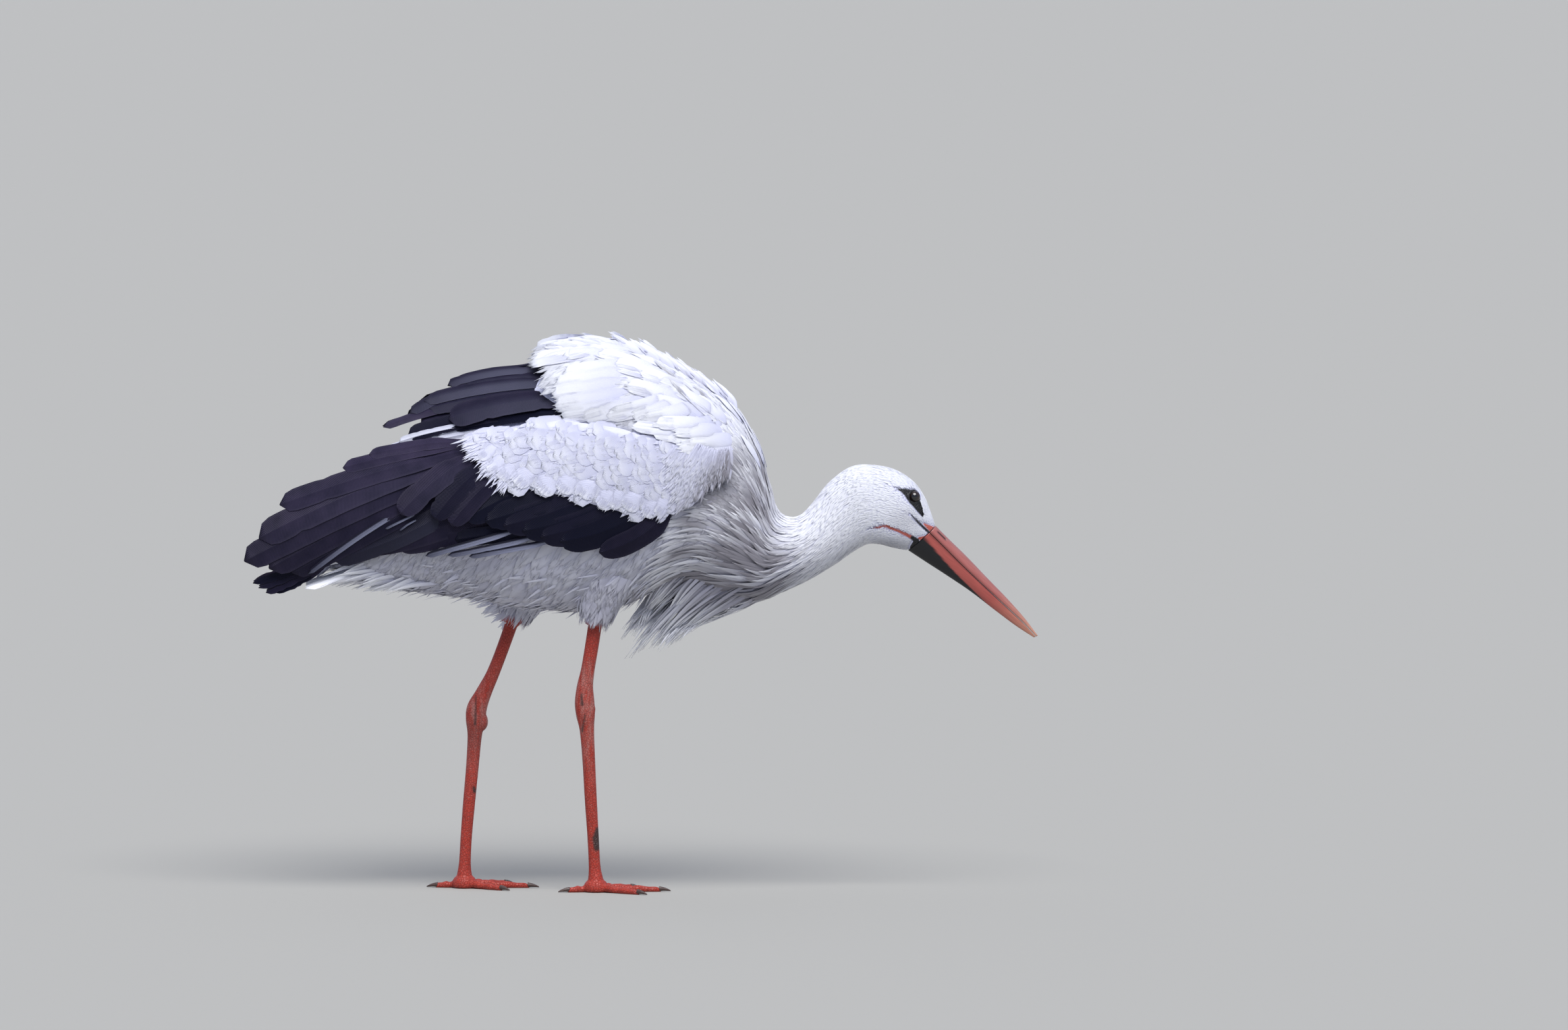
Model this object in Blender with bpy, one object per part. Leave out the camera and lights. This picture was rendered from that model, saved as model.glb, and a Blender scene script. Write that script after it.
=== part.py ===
"""White stork, life size, stooping to feed: the closed solids of a still display model.

X points to the bill, Y to the bird's left, Z up. The origin lies on the floor under the middle
of the bird. Tables are in millimetres and are turned into metres when a mesh is made.
"""

import math

import bmesh
import bpy
import numpy as np

MM = 0.001
GAP = 0.4  # mm left between neighbouring pieces
WELD_DISTANCE = 1e-6  # m within which points of one mesh are joined
SIDES = (("right", -1.0), ("left", 1.0))
UP = np.array((0.0, 0.0, 1.0))

# The body is one curved tube from the tail to the bill. Each row is one oval ring, which stands
# on the line from a back point to a belly point:
# back x, back z, belly x, belly z, half width.
BODY = np.array([
    (-318, 366, -322, 346, 20),   # end of the tail coverts
    (-285, 402, -296, 330, 38),
    (-235, 470, -235, 322, 54),   # rump
    (-160, 530, -165, 312, 72),
    (-85, 553, -95, 302, 84),     # hips
    (-15, 562, -30, 304, 88),
    (45, 548, 12, 322, 85),       # shoulders
    (92, 518, 45, 330, 76),
    (124, 474, 72, 322, 66),      # breast
    (139, 438, 98, 314, 57),      # foot of the neck
    (147, 410, 124, 311, 50),
    (160, 401, 152, 321, 44),     # bend of the neck
    (173, 404, 181, 334, 38),
    (186, 418, 208, 350, 34),
    (203, 439, 228, 364, 31.5),   # nape
    (226, 455, 243, 372, 30.5),
    (250, 457, 256, 372, 29.5),   # crown
    (273, 452, 268, 369, 27.5),
    (292, 440, 277, 367, 25),     # eyes
    (304, 424, 283, 366, 20.5),
    (311, 407, 287, 366, 16),
    (316, 392, 291, 368, 12.5),   # foot of the bill
], float)
TRUNK_TO_NECK = 8.6      # places of the cuts, counted in rows of BODY
NECK_TO_NAPE = 11.2
NAPE_TO_HEAD = 14.3
HALF_CUT = 0.012         # half the width of a cut through the body or a leg, in rows
ROUND_TRUNK = 0.92       # power of the ring's sine: 1 is an ellipse, less is squarer
ROUND_HEAD = 0.78

# Bill: culmen x, z, mouth line x, z, keel x, z, half width at the mouth line.
BILL = np.array([
    (316.5, 391.5, 310, 385, 288.7, 364.6, 11.8),
    (331, 377, 323.5, 371.5, 305.3, 353.3, 10.2),
    (350, 358.4, 343, 351.6, 328, 338.6, 8.4),
    (371, 336.4, 364.2, 331, 353.8, 321.2, 6.4),
    (394, 312.6, 388.2, 308.4, 380, 301, 4.6),
    (412, 292.2, 408.3, 289.6, 402.5, 284.2, 3.0),
    (426, 273.6, 424.2, 272.6, 421.5, 271.8, 1.2),
], float)
BILL_ROWS = 11
BILL_SIDES = 10
CULMEN_POWER, KEEL_POWER = 0.8, 0.9   # powers of the half rings' sine over the ridge and the keel

EYE = (293.5, 424)       # x, z of the eyes
EYE_RADIUS = 6.6
POLE = 0.04              # angle from the axis at which a ball's rings begin
EYE_SEAT = 4.6           # how far the centre lies under the side of the head

# Folded wing, drawn on a line from the shoulder back to the wing tip: along is measured
# down that line and across is measured up from it.
SHOULDER = np.array((100.0, 470.0))
WING_TIP = np.array((-423.0, 350.0))
WING_WIDTH = np.array([
    (0, 74), (60, 90), (120, 99), (200, 101), (280, 93), (360, 76), (440, 54), (500, 37), (540, 26),
])
WING_ROUND = np.array([(0, 120), (200, 128), (300, 112), (400, 88), (540, 62)])
WING_MIDDLE = np.array([(0, -10), (200, -5), (300, 8), (400, 22), (540, 10)])
COVERT_TOP = np.array([(14, 10), (36, 24), (74, 38), (109, 60), (170, 83), (237, 86), (276, 86)])
WING_STATIONS = np.array([
    14, 32, 50, 74, 97, 113, 131, 150, 168, 186, 212, 241, 258, 276, 315, 353, 380, 406, 446, 486,
    516, 534,
], float)
COVERT_EDGE = np.array([
    (14, -20), (50, -46), (97, -50), (113, -44), (150, -25), (186, -4), (212, 6), (241, 22),
    (258, 44), (276, 82),
])
FLIGHT_TOP = np.array([
    (97, -50), (113, -44), (150, -25), (186, -4), (212, 6), (241, 22), (258, 44), (276, 82),
    (353, 81), (406, 74), (486, 53), (516, 31), (534, 8),
])
FLIGHT_EDGE = np.array([
    (97, -62), (124, -72), (158, -75), (170, -66), (208, -57), (269, -53), (342, -38), (414, -18),
    (446, -21), (479, -31), (516, -10), (534, 0),
])
COVERT_THICK = (24, 15)  # thickness at the front and at the hind end
FLIGHT_THICK = (12, 5)
WING_GAP = 0.6           # between coverts and flight feathers
FLATTEST = 0.05          # least share of the bow that is left at the wing's edges

# Ruffled mantle over the back: row of BODY, height above the back, half angle round the ring.
MANTLE = np.array([
    (3.6, 18, 38), (4.1, 32, 45), (4.6, 32, 50), (5.2, 25, 54), (6.0, 16, 57), (7.0, 12, 50),
    (8.0, 8, 36), (8.5, 4, 24),
])
MANTLE_EDGE = 5          # thickness at its side edges
MANTLE_SUNK = -6         # height of its underside over the back
MANTLE_ARCH = 0.8        # power of the cosine by which it falls to its side edges
MANTLE_SLANT = 22        # how far its rear edge runs forward down the sides

# Long black scapulars, a roof over the rump: x, ridge z, ridge y, edge z, edge y.
SCAPULAR = np.array([
    (-117, 560, 3, 507, 59), (-134, 562, 3, 504, 57), (-160, 560, 3, 502, 52),
    (-195, 549, 4, 503, 45), (-230, 528, 8, 503, 37), (-258, 512, 14, 501, 31),
    (-276, 503, 20, 499, 26),
], float)
SCAPULAR_THICK = 7
SCAPULAR_BULGE = 5       # by which the roof is arched between ridge and edge
SCAPULAR_PARTING = 2     # by which each side of the roof reaches past its ridge

# Tail: x, z, half width, half thickness.
TAIL = np.array([
    (-236, 388, 30, 26), (-290, 354, 38, 21), (-330, 339, 37, 10), (-358, 330, 36, 3.5),
], float)
# Primary tips that show under the wing: x, z, y, half height, half thickness.
PRIMARIES = np.array([
    (-338, 362, 21, 8, 3), (-365, 350, 18, 10, 3), (-390, 338, 15, 11, 3), (-414, 326, 12, 4, 1.5),
], float)
# Plume that hangs from the foot of the neck: upper x, z, lower x, z, half width.
PLUME = np.array([
    (82, 352, 118, 312, 36), (48, 340, 78, 300, 32), (18, 322, 49, 282, 25), (-6, 297, 26, 262, 17),
    (-19, 270, -2, 247, 7),
], float)

# Legs: x, z and side distance of the middle line, then fore-and-aft and sideways radius.
THIGH = {
    "right": np.array([
        (-24, 366, 42, 40, 24), (-34, 340, 41, 32, 24), (-43, 315, 40, 25, 21), (-50, 284, 37, 11.5, 11)], float),
    "left": np.array([
        (-94, 362, 42, 42, 24), (-112, 336, 41, 35, 24), (-127, 311, 40, 26, 21), (-141, 279, 37, 11.5, 11)], float),
}
LEG = {
    "right": np.array([
        (-48, 293, 37.5, 7.4, 6.8), (-51, 270, 36.4, 7.4, 6.6), (-56, 240, 34.5, 7.4, 6.6),
        (-59, 222, 33.4, 8.8, 7.8), (-59.5, 205, 32.4, 10.6, 9.2), (-58.5, 191, 31.7, 10.2, 9.0),
        (-57, 174, 30.8, 7.8, 7.2), (-55, 140, 29, 6.9, 6.2), (-53, 100, 27, 6.6, 5.8),
        (-50.5, 58, 25, 6.2, 5.5), (-49, 28, 24, 6.4, 6.0), (-48, 15, 24, 8.0, 8.4),
        (-47.5, 8, 24, 9.2, 9.8),
    ], float),
    "left": np.array([
        (-136, 290, 37.5, 7.2, 6.8), (-146, 262, 36.2, 6.8, 6.4), (-158, 231, 34.4, 7.0, 6.6),
        (-168.5, 209, 33.2, 8.6, 7.8), (-175.5, 193, 32.2, 10.8, 9.2), (-177, 180, 31.6, 10.6, 9.0),
        (-178, 163, 30.8, 7.8, 7.2), (-180.5, 130, 29, 6.9, 6.2), (-184, 92, 27, 6.6, 5.8),
        (-187, 56, 25, 6.2, 5.5), (-188.5, 28, 24, 6.4, 6.0), (-189, 15, 24, 8.0, 8.4),
        (-189, 8, 24, 9.2, 9.8),
    ], float),
}
ANKLE_CUT = 3.45         # place of the cut between shank and tarsus, counted in rows of LEG
SHANK_FIT_SHIFT = 0.05   # rows by which the cutter for the shank reaches higher than the shank
PAD = ((12.2, 0.0), (13.8, 2.0), (13.8, 7.5), (11.5, 11.0), (7.5, 13.6))   # pad: radius, z
# Toes: heading from straight ahead, positive outwards, and length without the claw.
TOES = {"middle": (4, 70), "outer": (42, 57), "inner": (-34, 52), "hind": (176, 31)}
FOOT_TURN = {"right": -7, "left": -4}    # degrees by which the feet turn inwards
TOE_RADIUS = (4.5, 3.1)
TOE_START = 12.4         # distance of the toes' roots from the middle of the pad
TOE_RISE = 2.2           # by which a toe's root stands higher than its tip
TOE_SEAT = 0.8           # height of a toe's middle line, as a share of its radius
KNUCKLES = 3
KNUCKLE_SWELL = 0.13     # share of the radius by which a knuckle swells
CLAW_LENGTH = 10
CLAW_WIDTH = 0.78        # root of the claw, as a share of the toe's end
CLAW_TIP = 0.35          # radius of the blunt tip
CLAW_HEIGHT, CLAW_DROP = 3.2, 2.3    # height of the claw's root, and by how much its tip is lower


# ---------------------------------------------------------------- curves and rings

def smooth(table, places):
    """Rows of the table read at fractional row numbers, by Catmull-Rom interpolation."""
    rows = np.vstack([2 * table[0] - table[1], table, 2 * table[-1] - table[-2]])
    k = np.clip(np.floor(places).astype(int), 0, len(table) - 2)
    t = (places - k)[:, None]
    a, b, c, d = rows[k], rows[k + 1], rows[k + 2], rows[k + 3]
    return 0.5 * (2 * b + (c - a) * t + (2 * a - 5 * b + 4 * c - d) * t**2 + (3 * b - a - 3 * c + d) * t**3)


def resample(table, count):
    return smooth(table, np.linspace(0, len(table) - 1, count))


def at(table, x):
    """Straight-line reading of a two-column table."""
    return np.interp(x, table[:, 0], table[:, 1])


def body_rings(places, sides=20, grow=0.0):
    """Rings of the body tube at some places of BODY, swollen by grow millimetres."""
    row = smooth(BODY, places)
    back, belly, width = row[:, 0:2], row[:, 2:4], row[:, 4:5] + grow
    up = (back - belly) / np.linalg.norm(back - belly, axis=1, keepdims=True)
    back, belly = back + up * grow, belly - up * grow
    angle = np.linspace(0, 2 * math.pi, sides, endpoint=False)
    share = (1 - np.cos(angle)) / 2
    power = np.interp(places, (9, 14), (ROUND_TRUNK, ROUND_HEAD))[:, None]
    y = width * np.sign(np.sin(angle)) * np.abs(np.sin(angle)) ** power
    xz = back[:, None] + (belly - back)[:, None] * share[None, :, None]
    return np.stack([xz[..., 0], y, xz[..., 1]], axis=-1)


def oval_rings(middle, along, wide, high, sides):
    """Ovals round a middle line in space; along is its direction, wide and high the two radii."""
    along = along / np.linalg.norm(along, axis=1, keepdims=True)
    side = np.cross(along, (0.0, 1.0, 0.0))
    side /= np.linalg.norm(side, axis=1, keepdims=True)
    other = np.cross(along, side)
    angle = np.linspace(0, 2 * math.pi, sides, endpoint=False)[None, :, None]
    return (middle[:, None] + side[:, None] * wide[:, None, None] * np.cos(angle)
            + other[:, None] * high[:, None, None] * np.sin(angle))


# ---------------------------------------------------------------- objects

def material(name, rgb, roughness):
    made = bpy.data.materials.new(name)
    made.use_nodes = True
    shader = made.node_tree.nodes["Principled BSDF"]
    shader.inputs["Base Color"].default_value = (*rgb, 1)
    shader.inputs["Roughness"].default_value = roughness
    return made


def mesh_object(name, vertices, faces, finish):
    """One closed mesh, given in millimetres, with its faces turned outwards."""
    mesh = bpy.data.meshes.new(name)
    mesh.from_pydata((np.asarray(vertices, float) * MM).tolist(), [], faces)
    work = bmesh.new()
    work.from_mesh(mesh)
    bmesh.ops.remove_doubles(work, verts=work.verts, dist=WELD_DISTANCE)
    if work.calc_volume(signed=True) < 0:
        bmesh.ops.reverse_faces(work, faces=work.faces)
    work.to_mesh(mesh)
    work.free()
    mesh.shade_smooth()
    obj = bpy.data.objects.new(name, mesh)
    bpy.context.scene.collection.objects.link(obj)
    if finish:
        mesh.materials.append(finish)
    return obj


def tube(name, rings, finish):
    """A closed solid from rings of equal count, with a flat cap at each end."""
    rows, sides = rings.shape[:2]
    faces = []
    for i in range(rows - 1):
        low, high = i * sides, (i + 1) * sides
        for j in range(sides):
            after = (j + 1) % sides
            faces.append((low + j, low + after, high + after, high + j))
    faces += [tuple(reversed(range(sides))), tuple(range((rows - 1) * sides, rows * sides))]
    return mesh_object(name, rings.reshape(-1, 3), faces, finish)


def slab(name, outer, inner, finish):
    """A closed slab between two grids of the same size."""
    return tube(name, np.concatenate([outer, inner[:, ::-1]], axis=1), finish)


def helper(obj):
    """Marks a solid as a cutter, which isn't part of the bird."""
    obj.hide_render = True
    obj.display_type = "WIRE"
    return obj


def cut(obj, *cutters):
    for cutter in cutters:
        step = obj.modifiers.new("fit_" + cutter.name, "BOOLEAN")
        step.operation = "DIFFERENCE"
        step.solver = "EXACT"
        step.object = cutter


# ---------------------------------------------------------------- body

def make_body(coat):
    """Trunk, neck and head, parted by thin cuts through one tube."""
    cuts = (0.0, TRUNK_TO_NECK, NECK_TO_NAPE, NAPE_TO_HEAD, len(BODY) - 1.0)
    names = ("trunk", "neck_foot", "neck", "head")
    counts = (16, 6, 6, 11)
    made, whole = {}, []
    for k, name in enumerate(names):
        first = cuts[k] + (HALF_CUT if k else 0)
        last = cuts[k + 1] - (HALF_CUT if k < 3 else 0)
        places = np.linspace(first, last, counts[k])
        made[name] = tube(name, body_rings(places), coat)
        whole.append(places)
    fit_places = np.concatenate([[-HALF_CUT], *whole[:3]])
    made["body_fit"] = helper(tube("body_fit", body_rings(fit_places, grow=GAP), None))
    return made


def side_of_head(place_x, place_z):
    """Half width of the head at a point of its side view."""
    rings = body_rings(np.linspace(NAPE_TO_HEAD, len(BODY) - 1, 60), 72).reshape(-1, 3)
    rings = rings[rings[:, 1] > 0]
    away = np.hypot(rings[:, 0] - place_x, rings[:, 2] - place_z)
    return rings[np.argsort(away)[:6], 1].mean()


def ball(name, centre, radius, finish, sides=14, rows=8):
    """A round solid with a tiny flat at each pole."""
    angle = np.linspace(POLE, math.pi - POLE, rows)[:, None]
    turn = np.linspace(0, 2 * math.pi, sides, endpoint=False)[None]
    grid = np.stack([np.sin(angle) * np.cos(turn), np.sin(angle) * np.sin(turn), np.cos(angle) + 0 * turn], -1)
    return tube(name, np.asarray(centre) + grid * radius, finish)


def make_eyes(head, finish):
    depth = side_of_head(*EYE) - EYE_SEAT
    for side, sign in SIDES:
        centre = (EYE[0], sign * depth, EYE[1])
        ball("eye_" + side, centre, EYE_RADIUS, finish)
        socket = ball("socket_" + side, centre, EYE_RADIUS + GAP, None)
        cut(head, helper(socket))


def make_bill(finish):
    """Two horn sheaths that meet along the mouth line, each with a rounded back or keel."""
    row = resample(BILL, BILL_ROWS)
    culmen, mouth, keel, width = row[:, 0:2], row[:, 2:4], row[:, 4:6], row[:, 6]
    angle = np.linspace(0, math.pi, BILL_SIDES)
    for name, edge, power in (("bill_upper", culmen, CULMEN_POWER), ("bill_lower", keel, KEEL_POWER)):
        reach = edge - mouth
        start = mouth + reach / np.linalg.norm(reach, axis=1, keepdims=True) * GAP / 2
        xz = start[:, None] + (edge - start)[:, None] * (np.sin(angle) ** power)[None, :, None]
        y = width[:, None] * np.cos(angle)[None]
        tube(name, np.stack([xz[..., 0], y, xz[..., 1]], -1), finish)


# ---------------------------------------------------------------- wings, mantle, tail

def wing_point(along, across, sign, depth=0.0):
    """Outer face of the folded wing at a place on its side view, or depth millimetres under it."""
    back = (WING_TIP - SHOULDER) / np.linalg.norm(WING_TIP - SHOULDER)
    up = np.array((back[1], -back[0]))
    xz = SHOULDER + along[..., None] * back + across[..., None] * up
    bend = 1 - ((across - at(WING_MIDDLE, along)) / at(WING_ROUND, along)) ** 2
    y = at(WING_WIDTH, along) * np.sqrt(np.maximum(bend, FLATTEST)) - depth
    return np.stack([xz[..., 0], sign * y, xz[..., 1]], -1)


def wing_slab(name, sign, low, high, thick, finish, columns=7):
    along = WING_STATIONS[(WING_STATIONS >= low[0, 0]) & (WING_STATIONS <= low[-1, 0])][:, None]
    share = np.linspace(0, 1, columns)[None]
    across = at(low, along) + (at(high, along) - at(low, along)) * share
    along = along + 0 * share
    thin = np.interp(along, (low[0, 0], low[-1, 0]), thick)
    outer, inner = wing_point(along, across, sign), wing_point(along, across, sign, thin)
    return slab(name, outer, inner, finish)


def make_wings(white, black, body_fit):
    for side, sign in SIDES:
        top = FLIGHT_TOP - (0, WING_GAP)
        coverts = wing_slab("wing_coverts_" + side, sign, COVERT_EDGE, COVERT_TOP, COVERT_THICK, white)
        flight = wing_slab("wing_flight_" + side, sign, FLIGHT_EDGE, top, FLIGHT_THICK, black)
        cut(coverts, body_fit)
        cut(flight, body_fit)


def mantle_grid(grow_share, lift):
    """Grid over the back: the body's own rings between two side angles, raised by the mantle."""
    row = resample(MANTLE, 12)
    share = np.linspace(-1, 1, 12)
    arch = np.cos(share * math.pi / 2)[None] ** MANTLE_ARCH
    height = lift + grow_share * (MANTLE_EDGE + (row[:, 1:2] - MANTLE_EDGE) * arch)
    body = smooth(BODY, row[:, 0])
    back, belly, width = body[:, 0:2], body[:, 2:4], body[:, 4:5]
    up = (back - belly) / np.linalg.norm(back - belly, axis=1, keepdims=True)
    angle = np.radians(row[:, 2:3]) * share[None]
    down = (1 - np.cos(angle)) / 2 * np.linalg.norm(back - belly, axis=1, keepdims=True)
    xz = back[:, None] + up[:, None] * (height * np.cos(angle) - down)[..., None]
    xz[..., 0] += MANTLE_SLANT * share[None] ** 2 * np.linspace(1, 0, len(row))[:, None] ** 2
    y = (width + height) * np.sign(angle) * np.abs(np.sin(angle)) ** ROUND_TRUNK
    return np.stack([xz[..., 0], y, xz[..., 1]], -1)


def make_mantle(finish, body_fit):
    cut(slab("mantle", mantle_grid(1, 0), mantle_grid(0, MANTLE_SUNK), finish), body_fit)


def make_scapulars(finish, body_fit):
    row = resample(SCAPULAR, 10)
    share = np.linspace(0, 1, 5)[None]
    bulge = np.sin(share * math.pi) * SCAPULAR_BULGE
    for side, sign in SIDES:
        faces = []
        for depth in (0, SCAPULAR_THICK):
            z = row[:, 1:2] + (row[:, 3:4] - row[:, 1:2]) * share + bulge - depth
            y = row[:, 2:3] - SCAPULAR_PARTING + (row[:, 4:5] - row[:, 2:3]) * share + bulge
            x = row[:, 0:1] + MANTLE_SLANT * share**2 * np.linspace(1, 0, len(row))[:, None] ** 2
            faces.append(np.stack([x, sign * y, z], -1))
        cut(slab("scapulars_" + side, faces[0], faces[1], finish), body_fit)


def make_tail(white, black, body_fit):
    row = resample(TAIL, 8)
    middle = np.stack([row[:, 0], 0 * row[:, 0], row[:, 1]], -1)
    tail = tube("tail", oval_rings(middle, np.gradient(middle, axis=0), row[:, 3], row[:, 2], 14), white)
    cut(tail, body_fit)
    row = resample(PRIMARIES, 7)
    for side, sign in SIDES:
        middle = np.stack([row[:, 0], sign * row[:, 2], row[:, 1]], -1)
        rings = oval_rings(middle, np.gradient(middle, axis=0), row[:, 3], row[:, 4], 8)
        cut(tube("primaries_" + side, rings, black), body_fit)


def make_plume(finish, body_fit):
    row = resample(PLUME, 9)
    upper, lower, width = row[:, 0:2], row[:, 2:4], row[:, 4:5]
    angle = np.linspace(0, 2 * math.pi, 14, endpoint=False)
    xz = upper[:, None] + (lower - upper)[:, None] * ((1 - np.cos(angle)) / 2)[None, :, None]
    rings = np.stack([xz[..., 0], width * np.sin(angle)[None], xz[..., 1]], -1)
    cut(tube("neck_plume", rings, finish), body_fit)


# ---------------------------------------------------------------- legs

def limb(name, table, sign, places, finish, sides=10, grow=0.0):
    row = smooth(table, places)
    middle = np.stack([row[:, 0], sign * row[:, 2], row[:, 1]], -1)
    ahead, behind = smooth(table, places + 0.02), smooth(table, places - 0.02)
    along = (ahead - behind)[:, (0, 2, 1)] * (1, sign, 1)
    rings = oval_rings(middle, along, row[:, 3] + grow, row[:, 4] + grow, sides)
    return tube(name, rings, finish)


def make_legs(coat, skin, horn, body_fit):
    shank_places = np.linspace(0, ANKLE_CUT - HALF_CUT, 7)
    tarsus_places = np.linspace(ANKLE_CUT + HALF_CUT, len(LEG["right"]) - 1, 14)
    for side, sign in SIDES:
        thigh = limb("thigh_" + side, THIGH[side], sign, np.linspace(0, 3, 6), coat, 14)
        limb("shank_" + side, LEG[side], sign, shank_places, skin)
        fit_places = shank_places - SHANK_FIT_SHIFT
        shank_fit = helper(limb("shank_fit_" + side, LEG[side], sign, fit_places, None, grow=GAP))
        cut(thigh, body_fit, shank_fit)
        tarsus = limb("tarsus_" + side, LEG[side], sign, tarsus_places, skin)
        make_foot(side, sign, tarsus, skin, horn)


def make_foot(side, sign, tarsus, skin, horn):
    """Four toes round the ball of the foot, flat where they stand, and a claw on each."""
    x, y = LEG[side][-1, 0], sign * LEG[side][-1, 2]
    pad_rings("foot_" + side, x, y, 0.0, skin)
    hub_fit = helper(pad_rings("pad_fit_" + side, x, y, GAP, None))
    cut(tarsus, hub_fit)
    for toe, (heading, length) in TOES.items():
        turn = math.radians(sign * (heading + FOOT_TURN[side]))
        ahead = np.array((math.cos(turn), math.sin(turn), 0.0))
        made = make_toe(f"toe_{toe}_{side}", np.array((x, y, 0.0)), ahead, length, skin)
        cut(made, hub_fit)
        make_claw(f"claw_{toe}_{side}", np.array((x, y, 0.0)), ahead, length, horn)


def pad_rings(name, x, y, grow, finish):
    """The round pad under the ankle end of the leg, turned about an upright axis."""
    profile = np.array(PAD) + (grow, grow)
    profile[0, 1] -= 2 * grow
    angle = np.linspace(0, 2 * math.pi, 16, endpoint=False)[None]
    radius, z = profile[:, 0:1], profile[:, 1:2]
    rings = np.stack([x + radius * np.cos(angle), y + radius * np.sin(angle), z + 0 * angle], -1)
    return tube(name, rings, finish)


def flatten(obj):
    """Presses what lies under the floor up to it, which leaves a small flat sole."""
    for vertex in obj.data.vertices:
        vertex.co.z = max(vertex.co.z, 0.0)


def level_rings(root, ahead, reach, height, radius, sides):
    """Upright round sections, each reach millimetres ahead of the root at its height and radius."""
    middle = root + ahead * reach[:, None] + UP * height[:, None]
    aside = np.cross(UP, ahead)
    angle = np.linspace(0, 2 * math.pi, sides, endpoint=False)[None, :, None]
    wide = radius[:, None, None]
    return middle[:, None] + aside * wide * np.cos(angle) + UP * wide * np.sin(angle)


def make_toe(name, root, ahead, length, skin):
    """A tapered toe with a swelling at each knuckle, resting on its flat underside."""
    share = np.linspace(0, 1, 11)
    radius = TOE_RADIUS[0] + (TOE_RADIUS[1] - TOE_RADIUS[0]) * share
    swell = np.cos(share * KNUCKLES * 2 * math.pi) * np.sin(math.pi * np.clip(share * 1.1, 0, 1))
    radius = radius * (1 + KNUCKLE_SWELL * swell)
    height = radius * TOE_SEAT + TOE_RISE * (1 - share) ** 2
    reach = TOE_START + share * (length - TOE_START)
    toe = tube(name, level_rings(root, ahead, reach, height, radius, 8), skin)
    flatten(toe)
    return toe


def make_claw(name, root, ahead, length, horn):
    """A short blunt claw that starts just past the toe's end and bends down to the floor."""
    share = np.linspace(0, 1, 4)
    radius = TOE_RADIUS[1] * CLAW_WIDTH * (1 - share) ** 0.7 + CLAW_TIP
    height = CLAW_HEIGHT - CLAW_DROP * share**2
    reach = length + GAP + share * CLAW_LENGTH
    flatten(tube(name, level_rings(root, ahead, reach, height, radius, 6), horn))


# ---------------------------------------------------------------- the bird

def main():
    for obj in list(bpy.data.objects):
        bpy.data.objects.remove(obj)
    white = material("white_feather", (0.86, 0.85, 0.84), 0.9)
    cream = material("cream_feather", (0.72, 0.66, 0.56), 0.9)
    black = material("black_feather", (0.020, 0.018, 0.023), 0.6)
    red_skin = material("red_skin", (0.50, 0.07, 0.035), 0.55)
    red_horn = material("red_horn", (0.55, 0.11, 0.06), 0.4)
    claw_horn = material("claw_horn", (0.10, 0.07, 0.06), 0.5)
    eye = material("eye", (0.02, 0.015, 0.012), 0.1)

    body = make_body(white)
    fit = body["body_fit"]
    make_eyes(body["head"], eye)
    make_bill(red_horn)
    make_mantle(white, fit)
    make_wings(white, black, fit)
    make_scapulars(black, fit)
    make_tail(white, black, fit)
    make_plume(cream, fit)
    make_legs(white, red_skin, claw_horn, fit)


main()
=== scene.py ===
"""White stork, life size, stooping to feed: skin, plumage, bill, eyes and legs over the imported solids.

Shapes are worked out in millimetres, in the frame of the solids: X to the bill, Y to the bird's
left, Z up. Each function that makes a surface says its formula in words.
"""

import math

import bpy
import numpy as np
from bpy.props import FloatProperty, FloatVectorProperty, PointerProperty
from mathutils import Euler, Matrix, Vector


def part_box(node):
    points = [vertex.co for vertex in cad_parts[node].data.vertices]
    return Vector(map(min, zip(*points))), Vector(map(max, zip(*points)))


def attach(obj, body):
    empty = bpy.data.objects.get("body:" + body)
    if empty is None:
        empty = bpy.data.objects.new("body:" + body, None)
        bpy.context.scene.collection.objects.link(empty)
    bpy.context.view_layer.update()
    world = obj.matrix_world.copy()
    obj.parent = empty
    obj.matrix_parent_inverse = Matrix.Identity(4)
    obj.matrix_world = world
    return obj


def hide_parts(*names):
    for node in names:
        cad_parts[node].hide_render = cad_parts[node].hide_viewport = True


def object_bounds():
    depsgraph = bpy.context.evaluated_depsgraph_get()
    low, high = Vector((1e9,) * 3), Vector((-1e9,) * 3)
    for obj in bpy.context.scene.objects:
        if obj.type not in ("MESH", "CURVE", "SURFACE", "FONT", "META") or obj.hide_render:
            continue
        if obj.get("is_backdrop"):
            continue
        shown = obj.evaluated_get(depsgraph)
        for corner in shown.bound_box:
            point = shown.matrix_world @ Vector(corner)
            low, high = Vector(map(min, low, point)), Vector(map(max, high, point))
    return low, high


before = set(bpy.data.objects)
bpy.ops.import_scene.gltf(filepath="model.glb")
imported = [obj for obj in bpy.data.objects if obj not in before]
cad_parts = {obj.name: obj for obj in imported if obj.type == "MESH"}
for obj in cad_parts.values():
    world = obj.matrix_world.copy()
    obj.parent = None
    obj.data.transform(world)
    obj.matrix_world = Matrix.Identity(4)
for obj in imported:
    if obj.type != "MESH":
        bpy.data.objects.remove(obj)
CAD_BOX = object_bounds()

bl_info = {
    "name": "White stork display model",
    "version": (1, 0, 0),
    "blender": (4, 5, 0),
    "location": "View3D > Sidebar > Stork",
    "description": "Builds the skin, plumage and bare parts of a life-size white stork over its solids",
    "category": "Object",
}

MM = 0.001
UP = np.array((0.0, 0.0, 1.0))
# Near and far side of the bird, with the sign of its y.
SIDES = (("right", -1.0), ("left", 1.0))
# Angle above the floor from which the side views of the tables below are drawn.
SIGHT = math.radians(4.5)
# Side of the patch that one tuft takes on the bake map, as a share of the map.
PATCH = 0.003
# Least width of a feather's outline, as a share of its widest place.
NARROWEST = 0.04
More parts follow.
